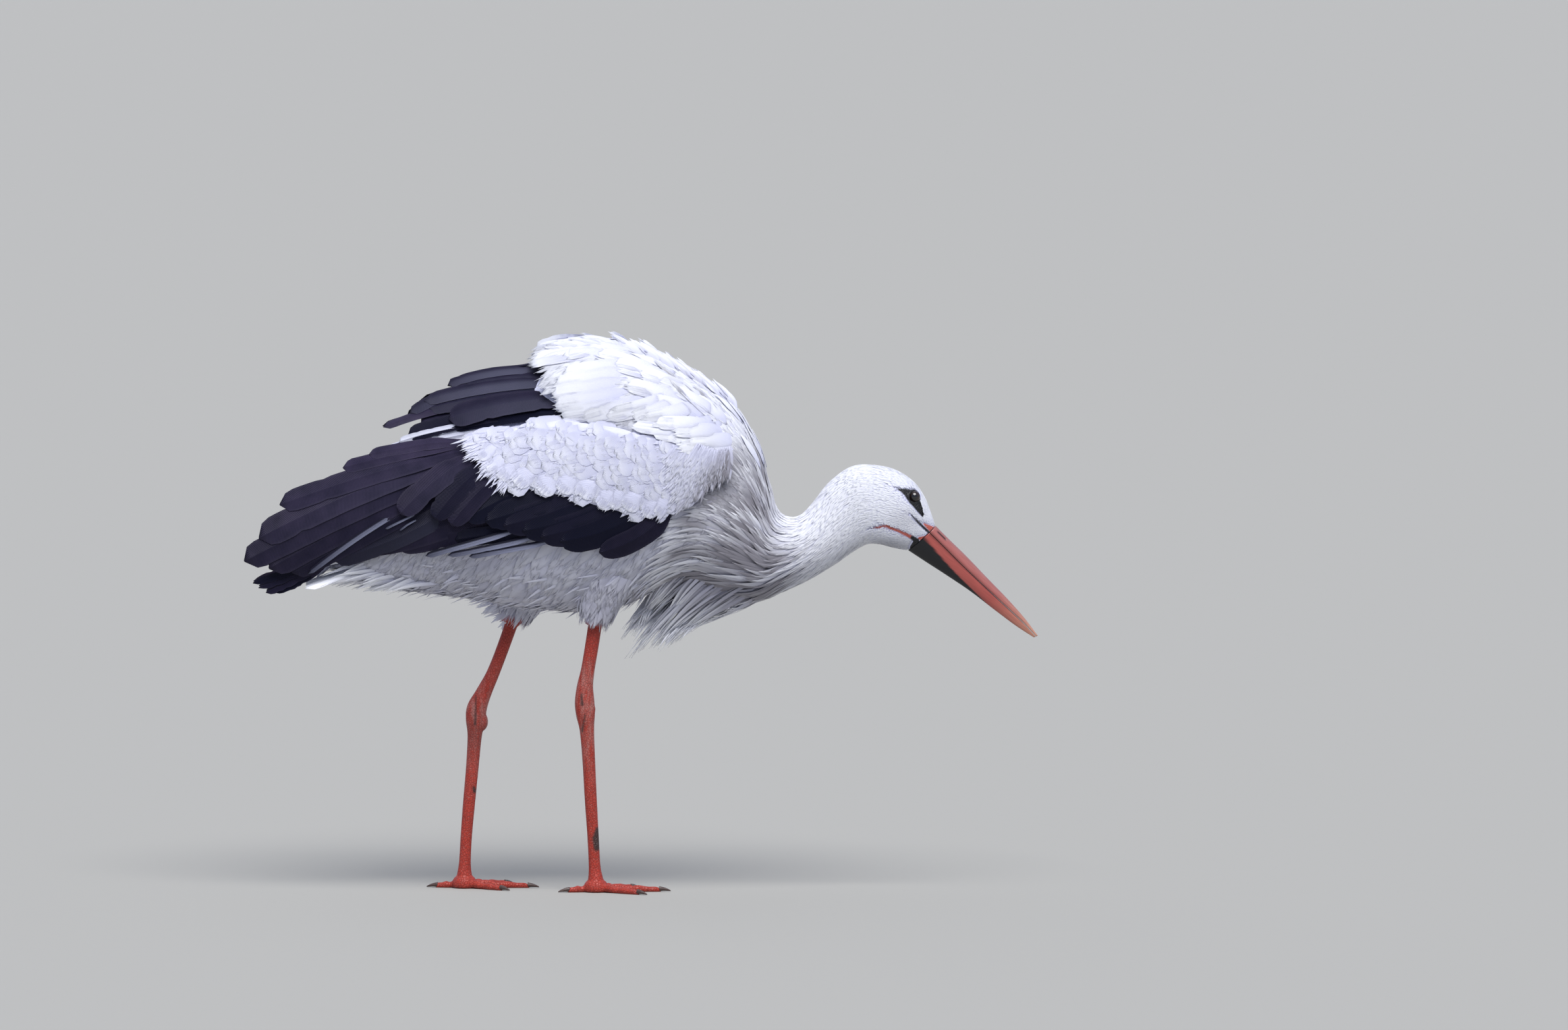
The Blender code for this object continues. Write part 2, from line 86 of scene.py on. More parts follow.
# Lowest height of skin and claws over the floor.
FLOOR_GAP = 0.02
# Depth of the coat over the thighs.
THIGH_COAT = 4
# Place along the bill where the black wedge of its lower half ends.
WEDGE_END = 0.62
# Half the side of the floor in metres.
FLOOR_HALF = 60.0
# Output and settings of a node that mixes two colours.
MIX = {"output": 2, "data_type": "RGBA"}

# Body: back x, back z, belly x, belly z, half width of rings from the tail to the foot of the bill.
BODY = np.array([
    (-318, 366, -322, 346, 20), (-285, 402, -296, 330, 38), (-235, 470, -235, 322, 54),
    (-160, 530, -165, 312, 72), (-85, 553, -95, 302, 84), (-15, 562, -30, 304, 88), (45, 548, 12, 322, 85),
    (92, 518, 45, 330, 76), (124, 474, 72, 322, 66), (139, 438, 98, 314, 57), (147, 410, 124, 311, 50),
    (160, 401, 152, 321, 44), (173, 404, 181, 334, 38), (186, 418, 208, 350, 34), (203, 439, 228, 364, 31.5),
    (226, 455, 243, 372, 30.5), (250, 457, 256, 372, 29.5), (273, 452, 268, 369, 27.5),
    (292, 440, 277, 367, 25), (304, 424, 283, 366, 20.5), (311, 407, 287, 366, 16),
    (316, 392, 291, 368, 12.5),
], float)
LAST = len(BODY) - 1.0
# Depth of the coat over the skin at rows of BODY.
COAT_DEPTH = np.array([
    (0, 4), (2, 5.5), (5, 5.5), (8, 5.5), (10, 4.5), (12, 3.4), (14, 2.4), (16, 1.7), (18, 1.1), (19, 0.8),
    (21, 0.5),
])
# Ruffled mantle: row of BODY, height over the back, half angle in degrees.
MANTLE = np.array([
    (3.3, 0, 40), (3.6, 18, 42), (4.1, 30, 50), (4.6, 31, 56), (5.2, 24, 60), (6.0, 15, 62), (7.0, 10, 56),
    (8.0, 6, 46), (8.8, 0, 36),
])

# Folded wing: along runs from the shoulder to the wing tip, across runs up from that line.
SHOULDER = np.array((100.0, 470.0))
WING_TIP = np.array((-423.0, 350.0))
WING_BACK = (WING_TIP - SHOULDER) / np.linalg.norm(WING_TIP - SHOULDER)
WING_UP = np.array((WING_BACK[1], -WING_BACK[0]))
# Half width of the bird, radius of the bow and its middle line, at places along the wing.
WING_WIDTH = np.array([(0, 74), (60, 90), (120, 99), (200, 101), (280, 93), (360, 76), (440, 54), (500, 37),
        (540, 26)])
WING_ROUND = np.array([(0, 120), (200, 128), (300, 112), (400, 88), (540, 62)])
WING_MIDDLE = np.array([(0, -10), (200, -5), (300, 8), (400, 22), (540, 10)])
# Upper and lower edge of the white coverts: along, across.
COVERT_TOP = np.array([(14, 10), (36, 24), (74, 38), (109, 60), (170, 83), (237, 86), (276, 86)])
COVERT_EDGE = np.array([
    (14, -20), (50, -46), (97, -50), (113, -44), (150, -25), (186, -4), (212, 6), (241, 22), (258, 44),
    (276, 82),
])
# Roof of the scapulars, from behind: x, ridge z, ridge y, edge z, edge y.
ROOF = np.array([
    (-290, 500, 16, 470, 34), (-258, 514, 12, 486, 38), (-230, 532, 8, 492, 42), (-195, 550, 4, 498, 48),
    (-160, 560, 3, 500, 54), (-134, 562, 3, 503, 58), (-117, 561, 3, 506, 60), (-84, 556, 3, 510, 66),
    (-40, 556, 3, 512, 74),
], float)

# Legs: x, z, side distance, fore-and-aft radius, sideways radius.
THIGH = {
    "right": np.array([(-24, 366, 42, 36, 20), (-34, 340, 41, 28, 20), (-43, 315, 40, 20, 17),
            (-50, 288, 37, 9, 9)], float),
    "left": np.array([(-94, 362, 42, 38, 20), (-112, 336, 41, 30, 20), (-127, 311, 40, 21, 18),
            (-141, 283, 37, 9, 9)], float),
}
LEG = {
    "right": np.array([
        (-46, 304, 38.2, 7.4, 6.8), (-51, 270, 36.4, 7.4, 6.6), (-56, 240, 34.5, 7.4, 6.6),
        (-59, 222, 33.4, 8.8, 7.8),
        (-59.5, 205, 32.4, 10.6, 9.2), (-58.5, 191, 31.7, 10.2, 9.0), (-57, 174, 30.8, 7.8, 7.2),
        (-55, 140, 29, 6.9, 6.2),
        (-53, 100, 27, 6.6, 5.8), (-50.5, 58, 25, 6.2, 5.5), (-49, 28, 24, 6.4, 6.0),
        (-48, 15, 24, 8.0, 8.4),
        (-47.5, 8, 24, 9.2, 9.8)], float),
    "left": np.array([
        (-132, 302, 38.2, 7.2, 6.8), (-146, 262, 36.2, 6.8, 6.4), (-158, 231, 34.4, 7.0, 6.6),
        (-168.5, 209, 33.2, 8.6, 7.8),
        (-175.5, 193, 32.2, 10.8, 9.2), (-177, 180, 31.6, 10.6, 9.0), (-178, 163, 30.8, 7.8, 7.2),
        (-180.5, 130, 29, 6.9, 6.2),
        (-184, 92, 27, 6.6, 5.8), (-187, 56, 25, 6.2, 5.5), (-188.5, 28, 24, 6.4, 6.0),
        (-189, 15, 24, 8.0, 8.4),
        (-189, 8, 24, 9.2, 9.8)], float),
}
# Pad under the leg: radius and height of its rings.
PAD = np.array([(10.5, 0.2), (12.4, 1.0), (13.4, 3.5), (13.0, 7.5), (11.0, 11.0), (7.5, 13.4)])
# Knuckle at the lower front of each ankle: x, z, y and radius.
KNUCKLE = {"right": (-52.4, 197, 31.9, 4.6), "left": (-170.4, 178.5, 31.4, 6.8)}
# Toes: heading in degrees from straight ahead, length.
TOES = {"middle": (4, 70), "outer": (42, 57), "inner": (-34, 52), "hind": (176, 31)}
FOOT_TURN = {"right": -7, "left": -4}
# Radius of a toe at its root and at its claw.
TOE_RADIUS = (4.4, 3.0)
CLAW_LENGTH = 10

# Bill: culmen x, z, mouth line x, z, keel x, z, half width.
BILL = np.array([
    (316.5, 391.5, 310, 385, 287.0, 365.4, 11.8), (331, 377, 323.5, 371.5, 305.3, 353.3, 10.2),
    (350, 358.4, 343, 351.6, 328, 338.6, 8.4), (371, 336.4, 364.2, 331, 353.8, 321.2, 6.4),
    (394, 312.6, 388.2, 308.4, 380, 301, 4.6), (412, 292.2, 408.3, 289.6, 402.5, 284.2, 3.0),
    (426, 273.6, 424.2, 272.6, 421.5, 271.8, 1.2),
], float)

# Feathers of the folded wing in side view, outermost first: x and z of root, middle and tip, half
# width, share of silver or cream, share of brown, depth under the surface.
FLIGHT = np.array([
    (-176, 470, -221, 439, -257, 405, 14, 0.02, 0.7, 1.0),
    (-162, 462, -195, 431, -220, 398, 13, 0, 0.1, 1.5), (-146, 452, -176, 424, -202, 391, 13, 0, 0.3, 2.0),
    (34, 414, 3, 382, -44, 362, 14, 0, 0.25, 1.4), (26, 428, -24, 392, -86, 374, 17, 0, 0.05, 2.2),
    (10, 430, -44, 398, -106, 379, 17, 0, 0, 2.4), (-6, 434, -62, 403, -126, 385, 17, 0, 0, 2.6),
    (-30, 436, -84, 409, -146, 391, 17, 0, 0.05, 2.8), (-56, 440, -106, 415, -166, 396, 16, 0, 0.05, 3.0),
    (-90, 448, -138, 424, -188, 399, 15, 0, 0, 3.2), (-190, 486, -240, 479, -291, 470, 8, 0, 1, 2.6),
    (-186, 484, -250, 471, -318, 456, 9, 0, 0.9, 3.0), (-180, 478, -280, 451, -387, 415, 13, 0.01, 0.7, 3.4),
    (-186, 474, -300, 432, -411, 378, 16, 0.02, 0.75, 4.2),
    (-190, 464, -310, 410, -425, 354, 15, 0.01, 0.6, 5.2),
    (-236, 420, -297, 383, -356, 338, 3.4, 0.7, 0.1, 5.6),
    (-196, 452, -300, 398, -398, 343, 15, 0, 0.4, 6.3), (-190, 440, -286, 386, -374, 338, 12, 0, 0.2, 7.0),
    (-236, 406, -255, 397, -274, 387, 1.7, 0.8, 0, 5.4), (-236, 399, -247, 393, -258, 386, 1.4, 0.7, 0, 5.4),
    (-176, 430, -250, 382, -330, 352, 12, 0.05, 0.2, 7.6), (-124, 387, -174, 373, -230, 358, 3.8, 1, 0, 4.6),
    (-104, 380, -150, 369, -206, 357, 3.6, 1, 0, 5.1), (-86, 374, -130, 366, -184, 357, 3.6, 1, 0, 5.6),
    (-160, 414, -232, 380, -304, 367, 14, 0, 0.5, 8.4), (-148, 404, -210, 378, -262, 368, 13, 0, 0.5, 8.8),
    (-80, 388, -140, 382, -200, 374, 10, 0, 0, 8.4), (-10, 388, -60, 382, -110, 377, 8, 0, 0, 8.4),
], float)
# Long black scapulars in side view, outermost first, in the same columns. Their share of silver is a painted
# reflection of the sky on this upward-facing patch.
SCAPULARS = np.array([
    (-46, 558, -140, 559, -206, 544, 8, 0.14, 0.4, 0.6),
    (-46, 546, -140, 546, -232, 527, 11, 0.12, 0.3, 1.0),
    (-46, 530, -136, 524, -204, 506, 15, 0.06, 0.3, 0.4),
    (-56, 550, -170, 544, -248, 514, 10, 0.1, 0.5, 1.8), (-60, 540, -180, 527, -276, 499, 7, 0, 1, 2.5),
    (-100, 520, -180, 508, -249, 489, 10, 0, 0, 3.2), (-50, 518, -130, 512, -204, 500, 9, 0, 0, 3.4),
    (-46, 544, -130, 541, -216, 522, 20, 0.02, 0, 2.4), (-46, 552, -120, 553, -188, 544, 9, 0.05, 0.3, 1.4),
    (-60, 538, -150, 533, -226, 519, 12, 0.04, 0.3, 2.2),
], float)
# Black feathers under the scapulars, seen from behind, in the same columns.
INNER_SCAPULARS = np.array([
    (-60, 550, -130, 549, -184, 540, 10, 0, 0.2, 4.0), (-60, 542, -140, 537, -200, 526, 12, 0, 0.2, 6.0),
    (-60, 546, -140, 541, -202, 528, 9, 0, 0.3, 9.0), (-60, 532, -150, 525, -214, 510, 13, 0, 0.2, 9.0),
    (-60, 538, -150, 530, -220, 511, 10, 0, 0.4, 13.0), (-60, 524, -150, 515, -226, 500, 12, 0, 0.2, 12.0),
], float)
# White feathers between the black scapulars and the wing, in the same columns.
WEDGE = np.array([
    (-160, 502, -212, 494, -259, 482, 4.5, 0, 0, 2.8), (-160, 496, -204, 488, -246, 478, 4.5, 0, 0, 3.2),
    (-130, 492, -170, 489, -214, 482, 8, 0, 0, 3.4), (-236, 488, -262, 479, -286, 469, 1.1, 0, 0, 4.0),
], float)
# Broad white feathers of mantle and shoulder in side view, in the same columns.
LOBES = np.array([
    (66, 528, 34, 545, 0, 556, 9, 0, 0, -0.3), (56, 520, 22, 534, -14, 543, 9, 0, 0, -0.3),
    (78, 518, 50, 536, 20, 549, 8, 0, 0, -0.1), (46, 540, 10, 556, -28, 566, 9, 0, 0, -0.2),
    (30, 550, -6, 566, -44, 577, 9, 0, 0, -0.1), (84, 508, 62, 524, 34, 538, 8, 0, 0, -0.2),
    (70, 506, 42, 519, 12, 526, 8, 0, 0, -0.4), (92, 500, 80, 515, 58, 531, 7, 0, 0, -0.1),
    (76, 518, 50, 541, 18, 566, 1.3, 0.8, 0, -0.9), (70, 510, 52, 526, 34, 545, 1.0, 0.7, 0, -0.9),
    (90, 505, 76, 524, 58, 540, 1.2, 0.8, 0, -0.8), (90, 490, 74, 480, 50, 474, 8, 0, 0, -0.6),
    (76, 508, 56, 496, 28, 486, 10, 0, 0, -0.9), (88, 502, 66, 494, 40, 490, 8, 0, 0, -0.5),
    (62, 524, 38, 514, 4, 508, 8, 0, 0, -1.0), (48, 528, 20, 517, -8, 508, 8, 0, 0, -0.9),
    (36, 536, 8, 523, -29, 515, 6, 0, 0, -1.0), (26, 528, -2, 516, -36, 509, 8, 0, 0, -0.8),
    (8, 530, -26, 517, -62, 507, 9, 0, 0, -0.8), (-6, 526, -44, 516, -84, 511, 10, 0, 0, -0.8),
    (-8, 536, -50, 527, -91, 521, 10, 0, 0, -0.7), (-12, 548, -54, 540, -94, 533, 10, 0, 0, -0.6),
    (-6, 558, -48, 550, -92, 543, 11, 0, 0, -0.5), (-2, 566, -44, 561, -82, 555, 10, 0, 0, -0.4),
    (-4, 578, -44, 582, -84, 573, 9, 0, 0, -0.2), (-24, 574, -66, 576, -112, 567, 10, 0, 0, -0.2),
    (-16, 586, -62, 586, -116, 574, 10, 0, 0, -0.6), (-28, 582, -70, 580, -117, 567, 9, 0, 0, -0.8),
    (-36, 590, -76, 589, -110, 580, 7, 0, 0, -0.5),
], float)
# Broad white feathers that lie over the upper front edge of the coverts, in the same columns.
FRONT_LOBES = np.array([
    (108, 486, 82, 484, 52, 482, 8, 0, 0, -1.0), (110, 476, 84, 471, 56, 468, 8, 0, 0, -0.9),
    (96, 494, 66, 494, 36, 494, 8, 0, 0, -1.3), (84, 500, 50, 501, 16, 501, 8, 0, 0, -1.5),
    (100, 490, 74, 479, 42, 476, 8, 0, 0, -0.7), (72, 491, 44, 488, 14, 492, 7, 0, 0, 0.4),
    (92, 484, 64, 482, 36, 484, 7, 0, 0, 0.2), (60, 497, 26, 495, -8, 499, 7, 0, 0, 0.0),
], float)
# Pointed feathers that stand up from the ridge of the mantle in side view, in the same columns.
CREST = np.array([
    (-56, 576, -80, 583, -103, 587, 6, 0, 0, -1), (-34, 580, -54, 587, -75, 592, 4.5, 0, 0, -1),
    (-18, 580, -40, 588, -62, 595, 5, 0, 0, -1), (6, 572, -12, 584, -32, 598, 5, 0.1, 0, -1),
    (28, 564, 8, 577, -10, 590, 4, 0.2, 0, -1), (42, 556, 22, 570, -2, 589, 5, 0.3, 0, -1),
    (60, 546, 43, 560, 24, 576, 4, 0.4, 0, -1), (76, 537, 58, 551, 39, 568, 3.5, 0.4, 0, -1),
    (90, 526, 74, 542, 57, 557, 4, 0.4, 0, -1), (106, 511, 94, 529, 77, 547.5, 4.5, 0.3, 0, -1),
], float)
# Blunt tips of the lowest coverts in side view, from the front: x, z, half width.
COVERT_TIPS = np.array([
    (17, 402, 8), (5, 400.5, 9), (-15, 407.5, 11), (-31, 411, 8), (-42, 410, 10), (-65, 421.5, 12),
    (-85, 426, 11), (-107, 426, 12), (-134, 436, 12), (-150, 442, 9), (-163, 451, 8), (-173, 463, 7),
    (12, 410, 9), (-6, 413, 10), (-24, 420, 11), (-52, 424, 11), (-74, 432, 11), (-95, 436, 11),
    (-120, 440, 11), (-142, 450, 10), (-156, 459, 9), (-168, 470, 8),
], float)
# Ragged tufts behind the far thigh in side view: x, z of root and of tip, half width.
REAR_TUFTS = np.array([
    (-128, 336, -182, 309, 3.5), (-132, 328, -176, 304, 3.5), (-126, 322, -168, 297, 4),
    (-130, 316, -161, 300, 3), (-124, 312, -158, 290, 3.5), (-126, 306, -150, 286, 3.5),
    (-134, 304, -146, 284, 3), (-124, 300, -136, 285, 3),
], float)
# Tips of the farther primaries under the wing: x, z, y of root and of tip, half width.
LOW_TIPS = np.array([
    (-330, 366, 26, -415, 331, 13, 5), (-330, 363, 27, -409, 326, 14, 5),
    (-330, 361, 28, -401, 321, 15, 5.5), (-330, 360, 28, -391, 321, 16, 5),
    (-330, 360, 29, -381, 325, 17, 5), (-330, 362, 29, -368, 334, 19, 4.5),
], float)
# Cells from which the side of the body is read: size, x and z of the first, and their numbers.
FLANK_CELL, FLANK_LOW, FLANK_CELLS = 3.0, np.array((-345.0, 270.0)), (190, 120)

# Markings of the face in side view: x, z and radius at each end of tapered strokes.
BLACK_STROKES = (
    ((275.5, 433.2, 0.7), (284, 429.8, 3.4)), ((284, 429.8, 3.4), (291.8, 425.0, 7.2)),
    ((291.8, 425.0, 7.2), (298, 413, 4.2)), ((298, 413, 4.2), (303.5, 402.5, 1.4)),
    ((290.3, 405, 0.7), (297, 397.4, 1.3)), ((297, 397.4, 1.3), (310, 384.6, 1.5)),
    ((291.5, 380, 2.2), (296, 376.5, 3.0)), ((296, 376.5, 3.0), (292, 369, 3.2)),
)
RED_STROKES = (
    ((250, 390.5, 1.2), (263, 393.5, 1.6)), ((263, 393.5, 1.6), (277, 387.8, 1.8)),
    ((277, 387.8, 1.8), (290, 381, 2.0)), ((304, 394.8, 0.9), (312, 388.8, 3.2)),
    ((299, 379.2, 1.6), (306, 378.5, 3.6)),
)
# Painted shade in the creases of the ankles, and dried mud on the legs, as strokes in side view.
LEG_CREASE_SHADE_AND_MUD = (
    ((-46, 68, 2.2), (-45.8, 58, 5.6)), ((-45.8, 58, 5.6), (-46.5, 48, 3.6)),
    ((-176.5, 206, 0.6), (-177.5, 176, 1.5)), ((-63, 214, 1.0), (-62, 203, 1.6)),
    ((-59, 192, 0.8), (-62, 174, 1.1)), ((-179, 108, 1.4), (-178, 104, 1.9)),
)
# Inner corner of the wing where it leaves the breast, as a stroke in side view, round which shade is
# painted.
ARMPIT_SHADE_STROKE = (((98, 463, 1), (54, 399, 1)),)


# ---------------- settings

def linear(hex_colour):
    """Linear red, green and blue of an sRGB hex colour."""
    srgb = np.array([int(hex_colour[k:k + 2], 16) / 255 for k in (1, 3, 5)])
    return tuple(np.where(srgb <= 0.04045, srgb / 12.92, ((srgb + 0.055) / 1.055) ** 2.4))


def colour_setting(name, description, hex_colour):
    return FloatVectorProperty(name=name, description=description, default=linear(hex_colour),
            subtype="COLOR",
                               size=3, min=0, max=1)


def length_setting(name, description, metres):
    return FloatProperty(name=name, description=description, default=metres, unit="LENGTH", min=0)


class StorkPlumage(bpy.types.PropertyGroup):
    """Colours and sizes of the feathers"""
    white: colour_setting("White", "Tips of the white feathers", "#f3f5fb")
    white_root: colour_setting("White root", "Shaded roots of the white feathers", "#cfd1ea")
    # Colour toward which the marks pull the white feathers: creamy stain, and painted shade on breast,
    # belly, thighs, armpit, chin and the underside of the neck.
    cream_and_shade: colour_setting("Cream", "Stained feathers of the foreneck and breast", "#7f7c84")
    black: colour_setting("Black", "Black flight feathers", "#090c20")
    brown: colour_setting("Brown black", "Worn parts of the black feathers", "#383149")
    # Wear, and a painted sheen, on the edges and tips of the black feathers.
    rim: colour_setting("Worn edge", "Edges of the black feathers", "#4c4858")
    # Also a painted reflection of the sky on the black scapulars.
    silver: colour_setting("Silver", "Bloom on the outer webs of the flight feathers", "#9ea2bd")
    ruffle: length_setting("Ruffle", "Height to which the tips of the mantle feathers stand up", 0.010)


class StorkBare(bpy.types.PropertyGroup):
    """Colours of the bare skin and horn"""
    leg: colour_setting("Leg", "Red skin of the legs", "#a63222")
    ankle: colour_setting("Ankle", "Greyer skin of the joints", "#a87068")
    face: colour_setting("Face skin", "Black skin round the eye and under the bill", "#08080f")
    gape: colour_setting("Gape", "Reddish skin behind the gape", "#b55a4c")
    # Dried mud, and painted shade in the ankle creases and under the rear ankle.
    mud_and_shade: colour_setting("Mud", "Dried mud and deep creases on the legs", "#3a2420")
    bill: colour_setting("Bill", "Red horn of the bill", "#aa5048")
    # Painted highlight along the top of the upper half of the bill.
    culmen: colour_setting("Culmen", "Pink ridge of the bill", "#9a6c6a")
    bill_tip: colour_setting("Bill tip", "Pale end of the bill", "#c69a80")
    claw: colour_setting("Claw", "Dark horn of the claws", "#3b2c28")
    iris: colour_setting("Iris", "Dark brown iris", "#241712")


class StorkStage(bpy.types.PropertyGroup):
    """Floor, light and camera"""
    floor: colour_setting("Floor", "Plain pale floor", "#a09f9a")
    elevation: FloatProperty(name="Elevation", description="Camera height as an angle above the floor",
                             default=math.radians(4.5), subtype="ANGLE")
    distance: length_setting("Distance", "Camera distance", 28.0)
    view_width: length_setting("View width", "Width of what the camera sees at the bird", 1.68)
    centre_x: length_setting("Centre", "Place along the bird of the middle of the view", 0.154)
    centre_z: length_setting("Centre height", "Height of the middle of the view", 0.402)
    sun: FloatProperty(name="Key light", description="Strength of the soft key light", default=3.8, min=0)
    sky: FloatProperty(name="Fill light", description="Strength of the light from all round", default=0.52,
            min=0)


# ---------------- surfaces

def smooth(table, places):
    """Rows of a table read at fractional row numbers, by Catmull-Rom interpolation."""
    places = np.asarray(places, float)
    rows = np.vstack([2 * table[0] - table[1], table, 2 * table[-1] - table[-2]])
    k = np.clip(np.floor(places).astype(int), 0, len(table) - 2)
    t = (places - k)[..., None]
    a, b, c, d = rows[k], rows[k + 1], rows[k + 2], rows[k + 3]
    return 0.5 * (2 * b + (c - a) * t + (2 * a - 5 * b + 4 * c - d) * t**2 + (3 * b - a - 3 * c + d) * t**3)


def at(table, x):
    """Straight-line reading of a two-column table."""
    return np.interp(x, table[:, 0], table[:, 1])


def ease(x):
    """Smooth step from 0 at 0 to 1 at 1."""
    x = np.clip(x, 0, 1)
    return x * x * (3 - 2 * x)


def unit(v):
    return v / np.maximum(np.linalg.norm(v, axis=-1, keepdims=True), 1e-9)


def wander(a, b, seed):
    """Slow wavy noise between about -1 and 1: a sum of five sine waves in random directions."""
    rng = np.random.default_rng(seed)
    total = 0
    for k in range(5):
        angle, phase = rng.uniform(0, 2 * math.pi, 2)
        total = total + np.sin((a * math.cos(angle) + b * math.sin(angle)) * (1 + 0.7 * k) + phase) / (1
                + 0.5 * k)
    return total / 1.9


def mantle_lift(u, v):
    """Height of the ruffled mantle over the body: a hump along the back that falls off sideways."""
    half = np.interp(u, MANTLE[:, 0], MANTLE[:, 2]) / 360
    return at(MANTLE, u) * np.cos(np.clip(np.abs(v) / half, 0, 1) * math.pi / 2) ** 0.8


def coat(u, v):
    """Outer surface of body and mantle: ovals on the lines from back to belly, raised along the back.

    The share of the line is (1 - cos v) / 2 and the side is a power of sin v. The mantle's height
    is added upwards by cos v and sideways by sin v.
    """
    row = smooth(BODY, u)
    back, belly, width = row[..., 0:2], row[..., 2:4], row[..., 4]
    lift, angle = mantle_lift(u, v), 2 * math.pi * v
    side = width * np.sign(np.sin(angle)) * np.abs(np.sin(angle)) ** np.interp(u, (9, 14), (0.92, 0.78))
    xz = back + (belly - back) * ((1 - np.cos(angle)) / 2)[..., None]
    xz = xz + unit(back - belly) * (lift * np.cos(angle))[..., None]
    return np.stack([xz[..., 0], side + lift * np.sin(angle), xz[..., 1]], -1)


def wing_surface(sign):
    """Outer face of a folded wing: a sheet bowed like part of a cylinder, narrower towards the tip."""
    def surface(along, across):
        xz = SHOULDER + along[..., None] * WING_BACK + across[..., None] * WING_UP
        bend = 1 - ((across - at(WING_MIDDLE, along)) / at(WING_ROUND, along)) ** 2
        y = at(WING_WIDTH, along) * np.sqrt(np.maximum(bend, 0.05))
        return np.stack([xz[..., 0], sign * y, xz[..., 1]], -1)

    return surface


def wing_side(sign):
    """The wing's face as a function of x and z."""
    face = wing_surface(sign)

    def surface(x, z):
        from_shoulder = np.stack([x, z], -1) - SHOULDER
        return face(from_shoulder @ WING_BACK, from_shoulder @ WING_UP)

    return surface


def roof_surface(sign):
    """Side of the roof as a function of x and z: a quarter of an oval from the ridge to the edge."""
    def surface(x, z):
        ridge, ridge_y, edge, edge_y = (np.interp(x, ROOF[:, 0], ROOF[:, k]) for k in (1, 2, 3, 4))
        share = np.clip((ridge - z) / (ridge - edge), 0, 1.3)
        y = ridge_y + (edge_y - ridge_y) * np.sin(np.minimum(share, 1) * math.pi / 2) + 6 * np.maximum(share
                - 1, 0)
        return np.stack([x, sign * y, z], -1)

    return surface


def flank_surface(sign):
    """Side of the body as a function of x and z: the widest place of the coat in each cell, softened.

    Outside the body the width is nothing, so that a feather can hang free of it.
    """
    grid = np.meshgrid(np.linspace(0.5, 12, 900), np.linspace(0, 0.5, 320), indexing="ij")
    p = coat(*grid).reshape(-1, 3)
    cell = ((p[:, ::2] - FLANK_LOW) / FLANK_CELL).astype(int)
    wide = np.zeros(FLANK_CELLS)
    np.maximum.at(wide, (cell[:, 0], cell[:, 1]), np.abs(p[:, 1]))
    for _ in range(3):
        for axis in (0, 1):
            wide = (np.roll(wide, 1, axis) + 2 * wide + np.roll(wide, -1, axis)) / 4

    def surface(x, z):
        place = [np.clip((value - FLANK_LOW[k]) / FLANK_CELL - 0.5, 0, FLANK_CELLS[k] - 2) for k,
                value in enumerate((x, z))]
        (i, j), (f, g) = [value.astype(int) for value in place], [value % 1 for value in place]
        y = (wide[i, j] * (1 - f) + wide[i + 1, j] * f) * (1 - g) + (wide[i, j + 1] * (1 - f) + wide[i + 1,
                j + 1] * f) * g
        return np.stack([x, sign * y, z], -1)

    return surface


def shoulder_surface(sign):
    """The wing's face, which goes over to the side of the body towards the neck."""
    body, wing = flank_surface(sign), wing_side(sign)

    def surface(x, z):
        share = ease((x - 48) / 46)[..., None]
        return body(x, z) * share + wing(x, z) * (1 - share)

    return surface


def thigh_surface(side, sign):
    """Ovals along the smoothed middle line of the thigh, counted by table row and turn."""
    def surface(place, turn):
        row = smooth(THIGH[side], place)
        ahead = smooth(THIGH[side], place + 0.02) - smooth(THIGH[side], place - 0.02)
        middle, along = (np.stack([line[..., 0], sign * line[..., 2], line[..., 1]], -1) for line in (row,
                ahead))
        along = unit(along)
        across = unit(np.cross(along, (0.0, 1.0, 0.0)))
        angle = 2 * math.pi * turn
        return (middle + across * ((row[..., 3] + THIGH_COAT) * np.cos(angle))[..., None]
                + np.cross(along, across) * ((row[..., 4] + THIGH_COAT) * np.sin(angle))[..., None])

    return surface


class Ground:
    """A surface that feathers grow on, with its outward side and the direction in which they lie."""

    def __init__(self, surface, steps, out, flow):
        self.surface, self.steps, self.out, self.flow = surface, steps, out, flow

    def at(self, a, b):
        """Point, outward normal, direction along a, and millimetres for each unit of a and of b."""
        da, db = self.steps
        pa = (self.surface(a + da, b) - self.surface(a - da, b)) / (2 * da)
        pb = (self.surface(a, b + db) - self.surface(a, b - db)) / (2 * db)
        la, lb = np.linalg.norm(pa, axis=-1), np.linalg.norm(pb, axis=-1)
        return self.surface(a, b), unit(np.cross(pa, pb)) * self.out, pa / la[..., None], la, lb


BODY_GROUND = Ground(coat, (0.03, 0.003), 1.0, -1.0)


def wing_ground(sign):
    return Ground(wing_surface(sign), (1.0, 1.0), sign, 1.0)


def side_ground(surface, sign, step=1.0):
    """Ground of a surface that is a function of x and z, with feathers lying back along it."""
    return Ground(surface(sign), (step, step), -sign, -1.0)


# ---------------- markings

def stroke_distance(p, strokes):
    """Distance in side view to the nearest tapered stroke, negative inside it."""
    x, z = p[..., 0], p[..., 2]
    best = np.full(np.shape(x), 1e9)
    for (x0, z0, r0), (x1, z1, r1) in strokes:
        dx, dz = x1 - x0, z1 - z0
        t = np.clip(((x - x0) * dx + (z - z0) * dz) / (dx * dx + dz * dz), 0, 1)
        best = np.minimum(best, np.hypot(x - x0 - t * dx, z - z0 - t * dz) - (r0 + (r1 - r0) * t))
    return best


def spot(x, z, centre, wide, high):
    """Bell-shaped spot in side view: e to the minus squared distance, counted in widths and heights."""
    return np.exp(-((x - centre[0]) / wide) ** 2 - ((z - centre[1]) / high) ** 2)


def face_mark(p, strokes):
    """1 in the strokes and 0 outside them, with a soft edge."""
    return 1 - ease(stroke_distance(p, strokes) + 0.5)


